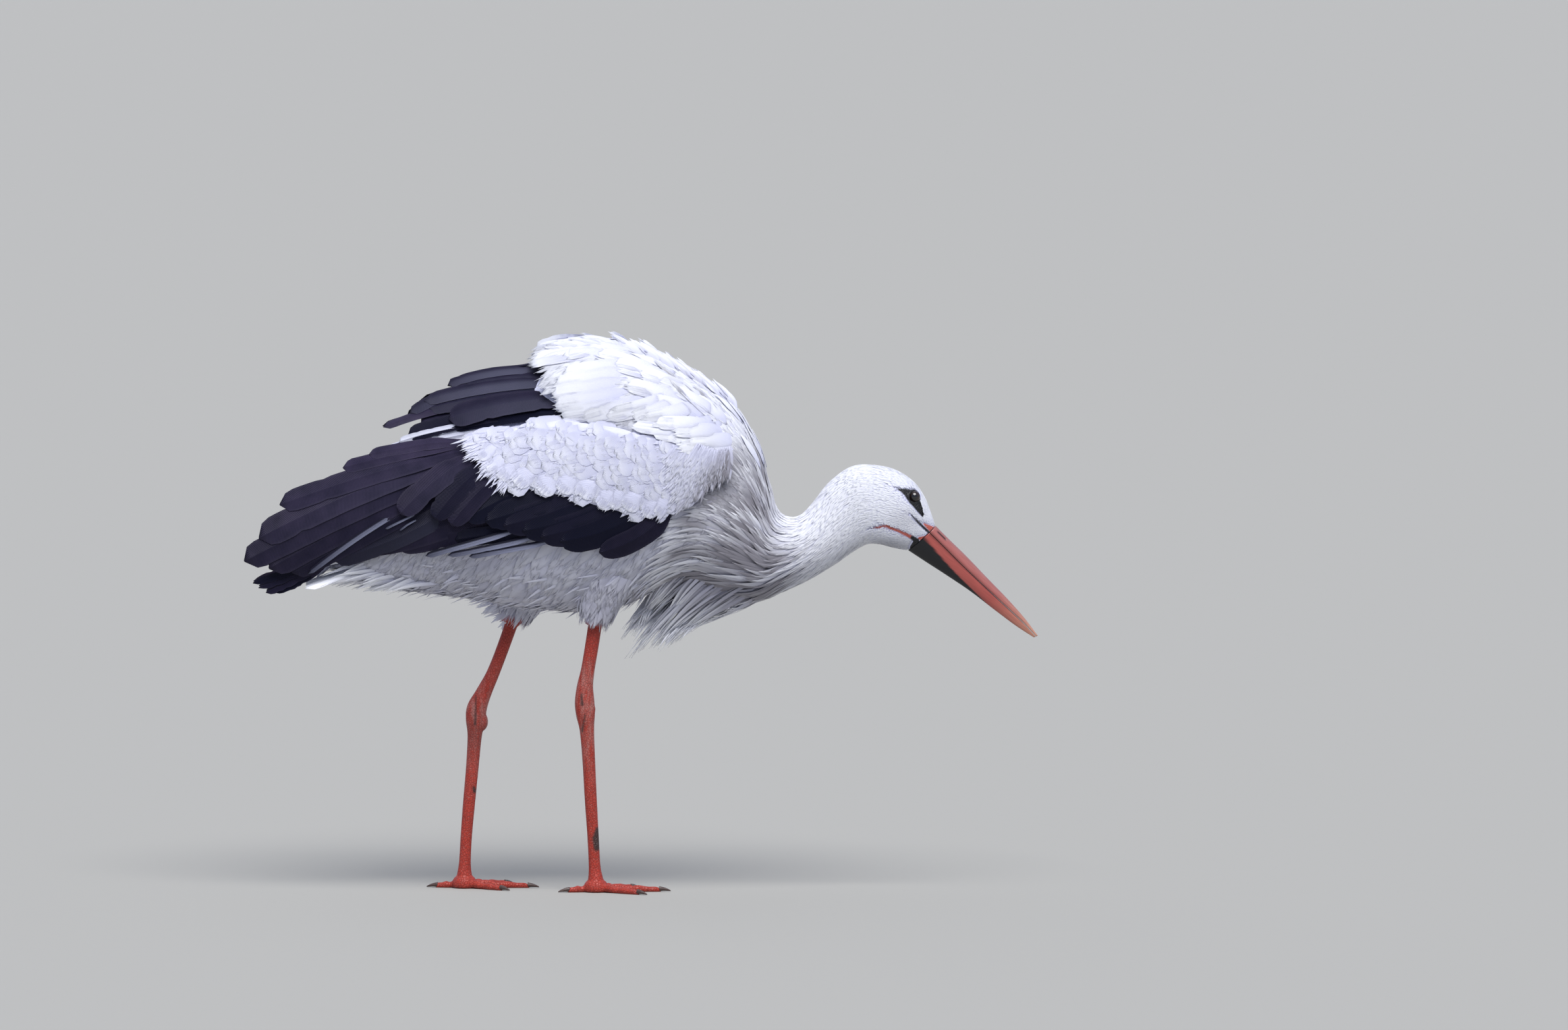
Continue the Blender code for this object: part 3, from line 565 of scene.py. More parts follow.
def stain_and_shade(p):
    """Share of stain and painted shade in the white coat: both on the breast and the foot of the neck, stain
    at the neck's hind edge, painted shade round the armpit, none above.
    """
    x, z = p[..., 0], p[..., 2]
    # Breast, darker below: stain and painted shade.
    breast = ease((398 - z) / 46) * (1 - 0.75 * ease((x - 120) / 70)) * ease((x - 10) / 30)
    front = spot(x, z, (112, 402), 34, 46) + breast + 0.55 * spot(x, z, (128, 462), 14, 46)
    # Painted shade in the crease where the wing leaves the breast.
    armpit = 0.75 * (1 - ease(stroke_distance(p, ARMPIT_SHADE_STROKE) / 32))
    return 1 - (1 - np.clip(front, 0, 1)) * (1 - armpit)


def body_shade_and_stain(p):
    """Share of painted shade in the coat of trunk and thighs, darker below and darkest behind the breast,
    with the stain and painted shade of the breast added near it.
    """
    x, z = p[..., 0], p[..., 2]
    # Painted shade: more on the underside, behind the breast and towards the tail, and some all over.
    under = ease((372 - z) / 60)
    front = 0.2 * ease((x + 90) / 50) * ease((356 - z) / 30)
    rear = 0.14 * ease((-120 - x) / 60)
    return np.clip(0.2 + 0.16 * under + front + rear + 0.7 * stain_and_shade(p) * ease((x - 20) / 30), 0, 0.95)


# ---------------- meshes

def set_values(mesh, values):
    """Stores named numbers on the points of a mesh."""
    for key, value in values.items():
        mesh.attributes.new(key, "FLOAT", "POINT").data.foreach_set("value",
                value.astype(np.float32).ravel())


def finish_piece(name, vertices, loops, sizes, material, slot, replaced, values, uvs=(), line=None):
    """Puts arrays into one mesh object at the origin, gives it its material, hangs it from the root and
    hides the solids it replaces.

    Edges that join two points of one line, where line is not negative, are creases.
    """
    mesh = bpy.data.meshes.new(name)
    mesh.vertices.add(len(vertices))
    mesh.vertices.foreach_set("co", (vertices * MM).astype(np.float32).ravel())
    mesh.loops.add(len(loops))
    mesh.loops.foreach_set("vertex_index", loops.astype(np.int32))
    mesh.polygons.add(len(sizes))
    starts = np.concatenate([[0], np.cumsum(sizes)[:-1]])
    mesh.polygons.foreach_set("loop_start", starts.astype(np.int32))
    mesh.update(calc_edges=True)
    for uv_name, places in uvs:
        mesh.uv_layers.new(name=uv_name).data.foreach_set("uv", places[loops].astype(np.float32).ravel())
    set_values(mesh, values)
    mesh.shade_smooth()
    if line is not None:
        ends = np.empty(len(mesh.edges) * 2, np.int32)
        mesh.edges.foreach_get("vertices", ends)
        first, second = line[ends.reshape(-1, 2)].T
        creased = (first == second) & (first >= 0)
        mesh.attributes.new("sharp_edge", "BOOLEAN", "EDGE").data.foreach_set("value", creased)
    obj = bpy.data.objects.new(name, mesh)
    bpy.context.scene.collection.objects.link(obj)
    adopt(obj, material, slot, replaced)


def adopt(obj, material, slot, replaced):
    obj.data.materials.clear()
    obj.data.materials.append(material)
    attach(obj, "root")
    if replaced:
        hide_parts(*replaced)


def ring_faces(rows, sides, count=1, flip=False):
    """Loops and sizes of closed tubes of rings, with a flat cap at each end, count times over."""
    k, j = np.meshgrid(np.arange(rows - 1), np.arange(sides), indexing="ij")
    right = (j + 1) % sides
    quads = np.stack([k * sides + j, k * sides + right, (k + 1) * sides + right, (k + 1) * sides + j], -1)
    start, end = np.arange(sides)[::-1], np.arange(sides) + (rows - 1) * sides
    if flip:
        quads, start, end = quads[..., ::-1], start[::-1], end[::-1]
    one = np.concatenate([quads.reshape(-1), start, end])
    sizes = np.concatenate([np.full((rows - 1) * sides, 4), [sides, sides]])
    shift = np.arange(count)[:, None] * rows * sides
    return (one[None] + shift).ravel(), np.tile(sizes, count)


def inside_out(points):
    """Whether the volume of a closed tube of rings [rows, sides, 3] comes out negative."""
    loops, sizes = ring_faces(*points.shape[:2])
    flat, total = points.reshape(-1, 3), 0.0
    for face in np.split(loops, np.cumsum(sizes)[:-1]):
        face = flat[face]
        total += np.einsum("ij,ij->", np.cross(face[1:-1], face[2:]), np.broadcast_to(face[0],
                face[1:-1].shape))
    return total < 0


def outward(rings):
    return rings[:, ::-1] if inside_out(rings) else rings


def turns(count):
    """Angles round a full turn."""
    return np.linspace(0, 2 * math.pi, count, endpoint=False)


def ovals(middle, first, second, wide, high, sides):
    """Rings round a middle line: wide times cosine one way, high times sine the other way."""
    angle = turns(sides)[None, :, None]
    return (middle[:, None] + first * wide[:, None, None] * np.cos(angle)
            + second * high[:, None, None] * np.sin(angle))


# ---------------- feathers

# Sections round a feather: across and height. Points at the full width are creases.
LEAF = np.array([(-1, 0), (0, 1), (1, 0), (0, -0.3)], float)
PLATE = np.array([(-1, 0), (-0.5, 0.8), (0, 1), (0.5, 0.8), (1, 0), (0, -0.6)], float)
BLADE = np.array([(-1, 0), (-0.55, 0.35), (-0.06, 0.55), (0, 1), (0.06, 0.55), (0.55, 0.35), (1, 0),
        (0, -0.25)], float)


def vanes(path, normal, half_width, ridge, cup, section):
    """Closed feathers: at each point of a middle line stands a thin section.

    A point lies across times the half width to the side, and its height times the ridge above the
    line, less the cup times the half width times across squared, which bows the vane downwards.
    """
    along = unit(np.gradient(path, axis=1))
    side = unit(np.cross(normal, along))
    up = np.cross(along, side)
    across, high = section[:, 0], section[:, 1]
    half_width, ridge = half_width[..., None], np.broadcast_to(ridge, half_width.shape)[..., None]
    rise = ridge * high - cup * half_width * across**2
    return path[:, :, None] + side[:, :, None] * (half_width * across)[..., None] + up[:, :,
            None] * rise[..., None]


def pack_feathers(points, section, root_uv, shade, mark, length, patch=(PATCH, PATCH)):
    """Arrays of a batch of feathers: corners, faces, the two maps and the values of each feather."""
    count, rows, sides = shape = points.shape[:3]
    loops, sizes = ring_faces(rows, sides, count, inside_out(points[0]))
    s = np.broadcast_to(np.linspace(0, 1, rows)[None, :, None], shape)
    across = np.broadcast_to(section[:, 0][None, None], shape) / 2 + 0.5
    bake = root_uv[:, None, None] + np.stack([(across - 0.5) * patch[0], (s - 0.5) * patch[1]], -1)
    vane = np.stack([across, s * length[:, None, None] / 10], -1)
    line = np.where(np.abs(section[:, 0]) == 1, np.arange(sides), -1)
    return {
        "vertices": points.reshape(-1, 3), "loops": loops, "sizes": sizes, "bake": bake.reshape(-1, 2),
        "vane": vane.reshape(-1, 2), "shade": np.broadcast_to(shade[:, None, None], shape).ravel(),
        "mark": np.broadcast_to(mark if mark.ndim == 3 else mark[:, None, None], shape).ravel(),
        "along": s.ravel(), "line": np.broadcast_to(line, shape).ravel(),
    }


def feather_piece(name, batches, material, replaced=(), slot="white_feather"):
    """Joins batches of feathers into one piece."""
    offset = np.cumsum([0] + [len(batch["vertices"]) for batch in batches])
    join = {key: np.concatenate([batch[key] for batch in batches]) for key in batches[0]}
    loops = np.concatenate([batch["loops"] + start for batch, start in zip(batches, offset)])
    finish_piece(name, join["vertices"], loops, join["sizes"], material, slot, replaced,
                 {key: join[key] for key in ("shade", "mark", "along")},
                 (("OFBake", join["bake"]), ("Vane", join["vane"])), join["line"])


def placed(batches, low, high):
    """Moves the bake patches of batches into one rectangle of the map."""
    for batch in batches:
        batch["bake"] = np.asarray(low) + (np.asarray(high) - np.asarray(low)) * batch["bake"]
    return batches


def quincunx(ground, a_range, b_range, pitch, size, rng, jitter=0.25):
    """Roots in staggered rows: pitch holds the millimetres between rows and between roots, times size."""
    a, roots, turn = a_range[0], [], 0
    step = 1.0 if a_range[1] > a_range[0] else -1.0
    while (a_range[1] - a) * step > 0:
        row_pitch, root_pitch = pitch[0] * at(size, a), pitch[1] * at(size, a)
        b_all = np.linspace(*b_range, 41)
        reach = np.linalg.norm(np.diff(ground.surface(np.full(41, a), b_all), axis=0), axis=1)
        count = max(2, int(reach.sum() / root_pitch))
        share = (np.arange(count) + 0.25 + 0.5 * (turn % 2)) / count
        b = np.interp(share * reach.sum(), np.concatenate([[0], np.cumsum(reach)]), b_all)
        probes = np.array(((b_range[0] + b_range[1]) / 2 + 1e-3, b_range[0] * 0.7 + b_range[1] * 0.3))
        la = ground.at(np.full(2, a), probes)[3].mean()
        width = reach.sum() / count / max(reach.sum(), 1e-6) * (b_range[1] - b_range[0])
        aside_a = rng.uniform(-jitter, jitter, count) * row_pitch / la
        roots.append(np.stack([a + aside_a, b + rng.uniform(-jitter, jitter, count) * width], -1))
        a += step * row_pitch / la
        turn += 1
    return np.concatenate(roots)


def drape(ground, a, b, heading, length, rows, rise):
    """Middle lines that run over a surface from their roots.

    Each line takes equal steps along the lie of the coat, turned by its heading towards growing b,
    and stands over the surface by rise, an array of heights in millimetres for its points.
    """
    points, normals = [], []
    step = length / (rows - 1)
    for k in range(rows):
        p, n, _, la, lb = ground.at(a, b)
        points.append(p + n * rise[:, k:k + 1])
        normals.append(n)
        a = a + step * np.cos(heading) * ground.flow / la
        b = b + step * np.sin(heading) / lb
    return np.stack(points, 1), np.stack(normals, 1)


def leaf_width(rows, blunt=0.62, root=0.3):
    """Half width along a feather: grows from root to 1 at blunt, then closes as a quarter circle."""
    s = np.linspace(0, 1, rows)
    close = np.sqrt(np.maximum(1 - np.clip((s - blunt) / (1 - blunt), 0, 1) ** 2.2, 0))
    return np.maximum((root + (1 - root) * ease(s / blunt)) * close, NARROWEST)


def spike_width(rows, root=0.5, belly=0.3):
    """Half width of a lance-shaped feather: widest at belly, then straight to a point."""
    s = np.linspace(0, 1, rows)
    taper = 1 - (np.maximum(s - belly, 0) / (1 - belly)) ** 1.3
    return np.maximum(np.where(s < belly, root + (1 - root) * ease(s / belly), taper), NARROWEST)


def grow(ground, roots, window, rng, rows, length, width, shape, heading=0.0, spread=0.1, depth=4.0,
        lift=0.5,
         mark=0.0, cup=0.06, thick=0.3, section=PLATE, bend=1.0):
    """A batch of feathers rooted on a surface; sizes in millimetres are numbers or one for each root."""
    a, b = roots.T
    count = len(a)

    def each(value):
        return np.broadcast_to(np.asarray(value, float), (count,)).copy()

    length = each(length) * rng.uniform(0.86, 1.14, count)
    width = each(width) * rng.uniform(0.88, 1.12, count)
    turn = each(heading) + rng.normal(0, spread, count)
    s = np.linspace(0, 1, rows)
    rise = -each(depth)[:, None] + (each(depth) + each(lift) * rng.uniform(0.5, 1.5, count))[:,
            None] * s**bend
    path, normal = drape(ground, a, b, turn, length, rows, rise)
    ragged = 1 + rng.uniform(-0.09, 0.09, (count, rows))
    half = width[:, None] * shape[None] * ragged
    points = vanes(path, normal, half, np.minimum(each(thick)[:, None], half * 0.5), cup, section)
    (a0, a1), (b0, b1) = window
    root_uv = np.stack([0.02 + 0.96 * (a - a0) / (a1 - a0), 0.02 + 0.96 * (b - b0) / (b1 - b0)], -1)
    marks = mark(path)[..., None] + 0 * section[:, 0] if callable(mark) else each(mark)
    return pack_feathers(points, section, np.clip(root_uv, 0.004, 0.996), rng.uniform(0, 1, count), marks,
            length)


def fringe(ground, roots, window, rng, barbs, length, width, heading, depth, lift, mark, reach,
           spread=0.12, ragged=0.2):
    """Loose barbs that fray the tips of feathers: narrow leaves rooted a share of the way along them."""
    def each(value):
        return np.repeat(np.broadcast_to(np.asarray(value, float), (len(roots),)), barbs)

    a, b = np.repeat(roots, barbs, axis=0).T
    length, width, heading = each(length), each(width), each(heading)
    side = rng.uniform(-0.75, 0.75, len(a))
    *_, la, lb = ground.at(a, b)
    ahead, aside = length * reach, side * width
    a = a + (ahead * np.cos(heading) * ground.flow - aside * np.sin(heading) * ground.flow) / la
    b = b + (ahead * np.sin(heading) + aside * np.cos(heading)) / lb
    rest = length * (1 - reach) * (1 + ragged * rng.uniform(-0.8, 1.2, len(a))) * (1 - 0.35 * np.abs(side))
    return grow(ground, np.stack([a, b], -1), window, rng, 4, rest, np.maximum(width * 0.18, 0.5),
                spike_width(4, 0.8, 0.35), heading + side * 0.15, spread, each(depth) * (1 - reach) + 0.3,
                each(lift), mark, thick=0.25, section=LEAF)


def lanes(count, height):
    """Places side by side on the bake map, at one height."""
    return np.stack([(np.arange(count) + 0.5) / count, np.full(count, height)], -1)


def long_vanes(ground, table, rng, sign, bury=5.0, rise=0.0, shaft=0.5, cup=0.05, jitter=0.0, rows=24,
        section=BLADE,
               blunt=1.0, tufts=None, tilt=0.0):
    """Long feathers over one side of the bird, from their side view.

    Each middle line is the curve through root, middle and tip that is quadratic in the share of
    the way. It lies at the depth of its table row, with its root buried, and rises towards its
    tip. The tip closes as an oval, or as a longer curve the less blunt it is, and the webs are
    notched here and there. The line of sight falls by SIGHT, so the near side is raised and the
    far side lowered. Each feather bakes to a strip of its own, or to a small patch where tufts
    gives the places; tilt turns its flat side outwards.
    """
    count = len(table)
    s = np.linspace(0, 1, rows)[None] ** 0.85
    table = table.copy()
    table[:, 2:6] += rng.normal(0, 1, (count, 4)) * jitter
    root, middle, tip = table[:, 0:2, None], table[:, 2:4, None], table[:, 4:6, None]
    bend = 2 * middle - (root + tip) / 2
    x, seen = np.moveaxis(root * (1 - s) ** 2 + 2 * bend * s * (1 - s) + tip * s**2, 1, 0)
    z = seen
    for _ in range(3):
        z = seen - sign * np.abs(ground.surface(x, z)[..., 1]) * math.tan(SIGHT)
    p, n, *_ = ground.at(x, z)
    path = p - n * (table[:, 9:10] + bury * (1 - ease(s / 0.4)) - rise * s**2)[..., None]
    length = np.linalg.norm(path[:, -1] - path[:, 0], axis=1)
    close = np.clip(1.45 * table[:, 6] / length / blunt**2, 0.07, 0.3 / blunt)[:, None]
    tip_oval = np.maximum(1 - np.clip((s - 1 + close) / close, 0, 1) ** 2, 0.003) ** (0.5 / blunt)
    shape = (0.45 + 0.55 * ease(s / 0.35)) * tip_oval
    notch = 1 - 0.1 * (rng.random((count, rows)) < 0.06) - rng.uniform(0, 0.03, (count, rows))
    half = table[:, 6:7] * shape * notch
    points = vanes(path, unit(n + np.array((0, sign * tilt, 0))), half, np.minimum(shaft, half * 0.5), cup,
            section)
    upper = ease(0.7 - section[:, 0] * sign * 2)
    # Silver on the upper half of each vane: bloom on the flight feathers, painted reflection of the sky on
    # the scapulars.
    mark = table[:, 7][:, None, None] * upper[None, None] * (0.4 + 0.6 * np.sin(math.pi * s))[..., None]
    shade = np.clip(table[:, 8] * 0.85 + rng.uniform(0, 0.15, count), 0, 1)
    if tufts is not None:
        return pack_feathers(points, section, tufts, shade, mark, length)
    return pack_feathers(points, section, lanes(count, 0.5), shade, mark, length, (0.8 / count, 0.94))


def soft_vanes(ground, table, rng, sign, bury, rise, jitter, blunt=1.0, strands=11, reach=6.0, width=1.7,
        tilt=0.0):
    """White feathers from a side view table, their tips frayed by narrow strands beside and past them."""
    broad = long_vanes(ground, table, rng, sign, bury, rise, 0.35, 0.04, jitter, 12, PLATE, blunt, None,
            tilt)
    parts = np.repeat(table, strands, axis=0)
    share = rng.uniform(-1, 1, len(parts))[:, None]
    root, middle, tip, half = parts[:, 0:2], parts[:, 2:4], parts[:, 4:6], parts[:, 6:7]
    ahead = unit(tip - middle)
    across = np.stack([-ahead[:, 1], ahead[:, 0]], -1) * share * half * 0.8
    end = tip + across + ahead * (reach * rng.uniform(-0.8, 1.0, share.shape) - half * 0.5 * share**2)
    root[:], middle[:], tip[:] = middle + across, (middle + tip) / 2 + across, end
    parts[:, 6] = width * rng.uniform(0.6, 1.3, len(parts))
    parts[:, 9] -= 0.75 * rise
    row = np.repeat(np.arange(len(table)), strands)
    tufts = np.stack([(row + 0.5) / len(table), rng.uniform(0.05, 0.95, len(parts))], -1)
    return [broad, long_vanes(ground, parts, rng, sign, 1.6, rise * 0.5, 0.25, 0.05, 0.3, 6, LEAF, 0.5,
            tufts, tilt)]


def straight_vanes(root, tip, half, rng, normal, sag, rows, root_uv, mark, section=BLADE, ragged=0.3,
        point=0.2):
    """Feathers in nearly straight lines between two points each, sagging as a half wave."""
    s = np.linspace(0, 1, rows)[None, :, None]
    path = root[:, None] * (1 - s) + tip[:, None] * s - UP * sag * np.sin(math.pi * s)
    s = s[..., 0]
    close = np.sqrt(np.maximum(1 - np.clip((s - 1 + point) / point, 0, 1) ** 2, 0.004))
    half = half[:, None] * (0.5 + 0.5 * ease(s / 0.4)) * close
    half = half * (1 - rng.uniform(0, ragged, half.shape) * (s > 0.5))
    points = vanes(path, unit(normal)[:, None] + 0 * path, half, np.minimum(0.5, half * 0.5), 0.08, section)
    length = np.linalg.norm(tip - root, axis=1)
    return pack_feathers(points, section, root_uv, rng.uniform(0, 1, len(root)), mark, length)


def wing_bed(ground, along_range, low, high, depth):
    """The mass under the feathers: a closed lens between two depths below the ground's face.

    It runs from low to high across the ground, which are functions of the place along it, and
    its thickness falls to nothing at its rim as a root of the sixth power.
    """
    share_along = np.linspace(0, 1, 40)[:, None]
    along = along_range[0] + (along_range[1] - along_range[0]) * share_along
    share = np.linspace(0, 1, 16)[None]
    across = low(along) + (high(along) - low(along)) * share
    full = np.sqrt(np.maximum((1 - (2 * share_along - 1) ** 6) * (1 - (2 * share - 1) ** 6), 0.0004))
    face, n, *_ = ground.at(along + 0 * share, across)
    far = (depth[0] + (depth[1] - depth[0]) * full)[..., None]
    rings = np.concatenate([face - n * depth[0], (face - n * far)[:, ::-1]], axis=1)
    section, one = np.zeros((rings.shape[1], 2)), np.zeros(1)
    return pack_feathers(rings[None], section, np.array([[0.5, 0.98]]), one + 0.3, one, one)


# ---------------- materials

def fill(node, inputs):
    """Sets a node's inputs, each to another node's output, a number or a linear colour.

    Inputs are named, or stand in the node's own order. Mix takes a share and colours 6 and 7; Map
    Range takes a value, the ends it comes from and the ends it goes to.
    """
    for key, value in inputs.items() if isinstance(inputs, dict) else enumerate(inputs):
        socket = node.inputs[key]
        if isinstance(value, bpy.types.NodeSocket):
            node.id_data.links.new(value, socket)
        else:
            socket.default_value = (*value, 1) if socket.type == "RGBA" else value


def add_node(tree, kind, inputs=(), output=0, **settings):
    """Adds one node with its settings and inputs, and gives one of its outputs."""
    made = tree.nodes.new("ShaderNode" + kind)
    for key, value in settings.items():
        setattr(made, key, value)
    fill(made, inputs)
    return made.outputs[output]


def new_material(name, values=()):
    """A material, its nodes and shader, and outputs that read the piece's own numbers."""
    made = bpy.data.materials.new(name)
    made.use_nodes = True
    tree = made.node_tree
    return made, tree, tree.nodes["Principled BSDF"], [
        add_node(tree, "Attribute", output="Fac", attribute_name=key) for key in values]


def barb_bump(tree, spacing_mm, strength):
    """Normal with slanting ribs of the barbs, and the share of the vane's width away from the shaft.

    The ribs are drawn a few times coarser than life, so that they show. The Vane map's second
    axis counts centimetres.
    """
    across = add_node(tree, "SeparateXYZ", [add_node(tree, "UVMap", uv_map="Vane")])
    off = add_node(tree, "Math", [across, 0.5], operation="SUBTRACT")
    out = add_node(tree, "Math", [off], operation="ABSOLUTE")
    slant = add_node(tree, "Math", [out, -1.2, across.node.outputs[1]], operation="MULTIPLY_ADD")
    turned = add_node(tree, "Math", [slant, 10 / spacing_mm * 2 * math.pi], operation="MULTIPLY")
    wave = add_node(tree, "Math", [turned], operation="SINE")
    return add_node(tree, "Bump", {"Strength": strength, "Distance": 0.6 * MM, "Height": wave}), out


def white_plumage(name, bump=0.25, shaded=0.1, fade=(0.15, 0.75)):
    """Keratin vane, unpigmented: matt, with painted shade towards the root and by the shaded amount, and
    pulled by its mark towards creamy stain and painted shade.
    """
    look = bpy.context.scene.stork_plumage
    made, tree, shader, (along, shade, mark) = new_material(name, ("along", "shade", "mark"))
    # Painted shade towards the root, where the feather lies under the next ones.
    root = add_node(tree, "MapRange", [along, *fade, 1, 0])
    clean = add_node(tree, "Mix", {0: root, 6: look.white, 7: look.white_root}, **MIX)
    # Painted shade over the whole feather by the shaded amount, more on some feathers than on others.
    dim = add_node(tree, "MapRange", [shade, 0, 1, shaded * 0.7, shaded * 1.3])
    dimmed = add_node(tree, "Mix", {0: dim, 6: clean, 7: look.white_root}, **MIX)
    fill(shader, {
        "Base Color": add_node(tree, "Mix", {0: mark, 6: dimmed, 7: look.cream_and_shade}, **MIX), "Roughness": 0.75,
        "Specular IOR Level": 0.25, "Sheen Weight": 0.15, "Subsurface Weight": 0.3, "Subsurface Radius": (1,
                1, 1),
        "Subsurface Scale": 2 * MM, "Normal": barb_bump(tree, 1.2, bump)[0]})
    return made


def black_plumage(name):
    """Keratin vane, melanin black: low sheen, brown where worn, pale at the edges and tip for wear and as a
    painted sheen, silver where marked, which on the scapulars is a painted reflection of the sky.
    """
    look = bpy.context.scene.stork_plumage
    made, tree, shader, (along, shade, mark) = new_material(name, ("along", "shade", "mark"))
    normal, out = barb_bump(tree, 1.6, 0.5)
    place = add_node(tree, "TexCoord", output="Object")
    noise = add_node(tree, "TexNoise", {"Vector": place, "Scale": 1 / (22 * MM), "Detail": 3})
    mottle = add_node(tree, "MapRange", [noise, 0.35, 0.7, 0, 0.5])
    base = add_node(tree, "Mix", {0: shade, 6: look.black, 7: look.brown}, **MIX)
    base = add_node(tree, "Mix", {0: mottle, 6: base, 7: look.black}, **MIX)
    # Pale edge and tip: wear, and a painted sheen that makes the edges show.
    edge = add_node(tree, "MapRange", [out, 0.38, 0.5, 0, 0.25])
    tip = add_node(tree, "MapRange", [along, 0.93, 1, 0, 0.18])
    rim = add_node(tree, "Math", [edge, tip], operation="MAXIMUM")
    worn = add_node(tree, "MapRange", [shade, 0, 0.8, 0.2, 1])
    rim = add_node(tree, "Math", [rim, worn], operation="MULTIPLY")
    base = add_node(tree, "Mix", {0: rim, 6: base, 7: look.rim}, **MIX)
    fill(shader, {
        "Base Color": add_node(tree, "Mix", {0: mark, 6: base, 7: look.silver}, **MIX), "Roughness": 0.5,
        "Specular IOR Level": 0.12, "Normal": normal})
    return made


def skin_material():
    """Bare bird skin: red and scaly on the legs, black on the face, white down elsewhere."""
    bare, look = bpy.context.scene.stork_bare, bpy.context.scene.stork_plumage
    made, tree, shader, (leg, ankle, black, red, mud_and_shade) = new_material(
        "stork_skin_reticulate_scales", ("leg", "ankle", "black", "red", "mud_and_shade"))
    red_skin = np.array(bare.leg)
    place = add_node(tree, "TexCoord", output="Object")
    long_place = add_node(tree, "Mapping", {"Vector": place, "Scale": (1, 1, 0.25)})
    streaks = add_node(tree, "TexNoise", {"Vector": long_place, "Scale": 1 / (4.5 * MM), "Detail": 4})
    noise = add_node(tree, "TexNoise", {"Vector": place, "Scale": 1 / (9 * MM), "Detail": 3})
    blotch = add_node(tree, "MapRange", [noise, 0.35, 0.75, 0, 0.45])
    colour = add_node(tree, "Mix", {0: blotch, 6: red_skin, 7: red_skin * 0.62}, **MIX)
    grey = add_node(tree, "MapRange", [streaks, 0.38, 0.6])
    grey = add_node(tree, "Math", [ankle, grey], operation="MULTIPLY")
    colour = add_node(tree, "Mix", {0: grey, 6: colour, 7: bare.ankle}, **MIX)
    scales = add_node(tree, "TexVoronoi", {"Vector": place, "Scale": 1 / (2.8 * MM)}, "Distance",
                      feature="DISTANCE_TO_EDGE")
    plates = add_node(tree, "MapRange", [scales, 0, 0.12])
    seam = add_node(tree, "MapRange", [plates, 0, 1, 0.4, 0])
    colour = add_node(tree, "Mix", {0: seam, 6: colour, 7: red_skin * 0.4}, **MIX)
    # Dried mud and painted shade on the legs.
    colour = add_node(tree, "Mix", {0: mud_and_shade, 6: colour, 7: bare.mud_and_shade}, **MIX)
    face = add_node(tree, "Mix", {0: red, 6: look.white_root, 7: bare.gape}, **MIX)
    face = add_node(tree, "Mix", {0: black, 6: face, 7: bare.face}, **MIX)
    fill(shader, {
        "Base Color": add_node(tree, "Mix", {0: leg, 6: face, 7: colour}, **MIX), "Roughness": 0.5,
        "Normal": add_node(tree, "Bump", {"Strength": 0.7, "Distance": 0.6 * MM, "Height": plates})})
    return made


def bill_material():
    """Horn, grown in long fibres and rubbed smooth: red, with a painted highlight in pink along the ridge,
    paler at the tip.
    """
    bare = bpy.context.scene.stork_bare
    made, tree, shader, (along, ridge, mark) = new_material("bill_keratin_rubbed",
            ("along", "ridge", "mark"))
    red = add_node(tree, "Mix", {0: ridge, 6: bare.bill, 7: bare.culmen}, **MIX)
    end = add_node(tree, "MapRange", [along, 0.6, 1, 0, 0.75])
    pale = add_node(tree, "Mix", {0: end, 6: red, 7: bare.bill_tip}, **MIX)
    place = add_node(tree, "TexCoord", output="Object")
    # The bill points down and forward by 40 degrees: the map is stretched along it to draw its fibres.
    turned = add_node(tree, "Mapping", {"Vector": place, "Rotation": (0, math.radians(-40), 0)})
    squeezed = add_node(tree, "Mapping", {"Vector": turned, "Scale": (0.06, 1, 1)})
    fibre = add_node(tree, "TexNoise", {"Vector": squeezed, "Scale": 1 / (1.4 * MM), "Detail": 3})
    streak = add_node(tree, "MapRange", [fibre, 0.35, 0.7, 0, 0.35])
    horn = add_node(tree, "Mix", {0: streak, 6: pale, 7: np.array(bare.bill) * 0.55}, **MIX)
    fill(shader, {
        "Base Color": add_node(tree, "Mix", {0: mark, 6: horn, 7: bare.face}, **MIX), "Roughness": 0.38,
        "Normal": add_node(tree, "Bump", {"Strength": 0.3, "Distance": 0.3 * MM, "Height": fibre})})
    return made


def claw_material():
    """Horn, worn by the ground: dark and slightly polished."""
    made, tree, shader, _ = new_material("claw_keratin_worn")
    claw = np.array(bpy.context.scene.stork_bare.claw)
    place = add_node(tree, "TexCoord", output="Object")
    noise = add_node(tree, "TexNoise", {"Vector": place, "Scale": 1 / (2.5 * MM), "Detail": 3})
    share = add_node(tree, "MapRange", [noise, 0.3, 0.7])
    colour = add_node(tree, "Mix", {0: share, 6: claw, 7: np.minimum(claw * 1.8, 1)}, **MIX)
    fill(shader, {"Base Color": colour, "Roughness": 0.42})
    return made


def eye_material():
    """Wet cornea over a dark iris: black pupil, brown ring."""
    made, tree, shader, (off_axis,) = new_material("eye_cornea_wet", ("off_axis",))
    ring = add_node(tree, "MapRange", [off_axis, 0.5, 0.58])
    iris = {0: ring, 6: (0.004, 0.004, 0.005), 7: bpy.context.scene.stork_bare.iris}
    fill(shader, {"Base Color": add_node(tree, "Mix", iris, **MIX), "Roughness": 0.06, "Coat Weight": 0.6,
                  "Coat Roughness": 0.12})
    return made


# ---------------- skin

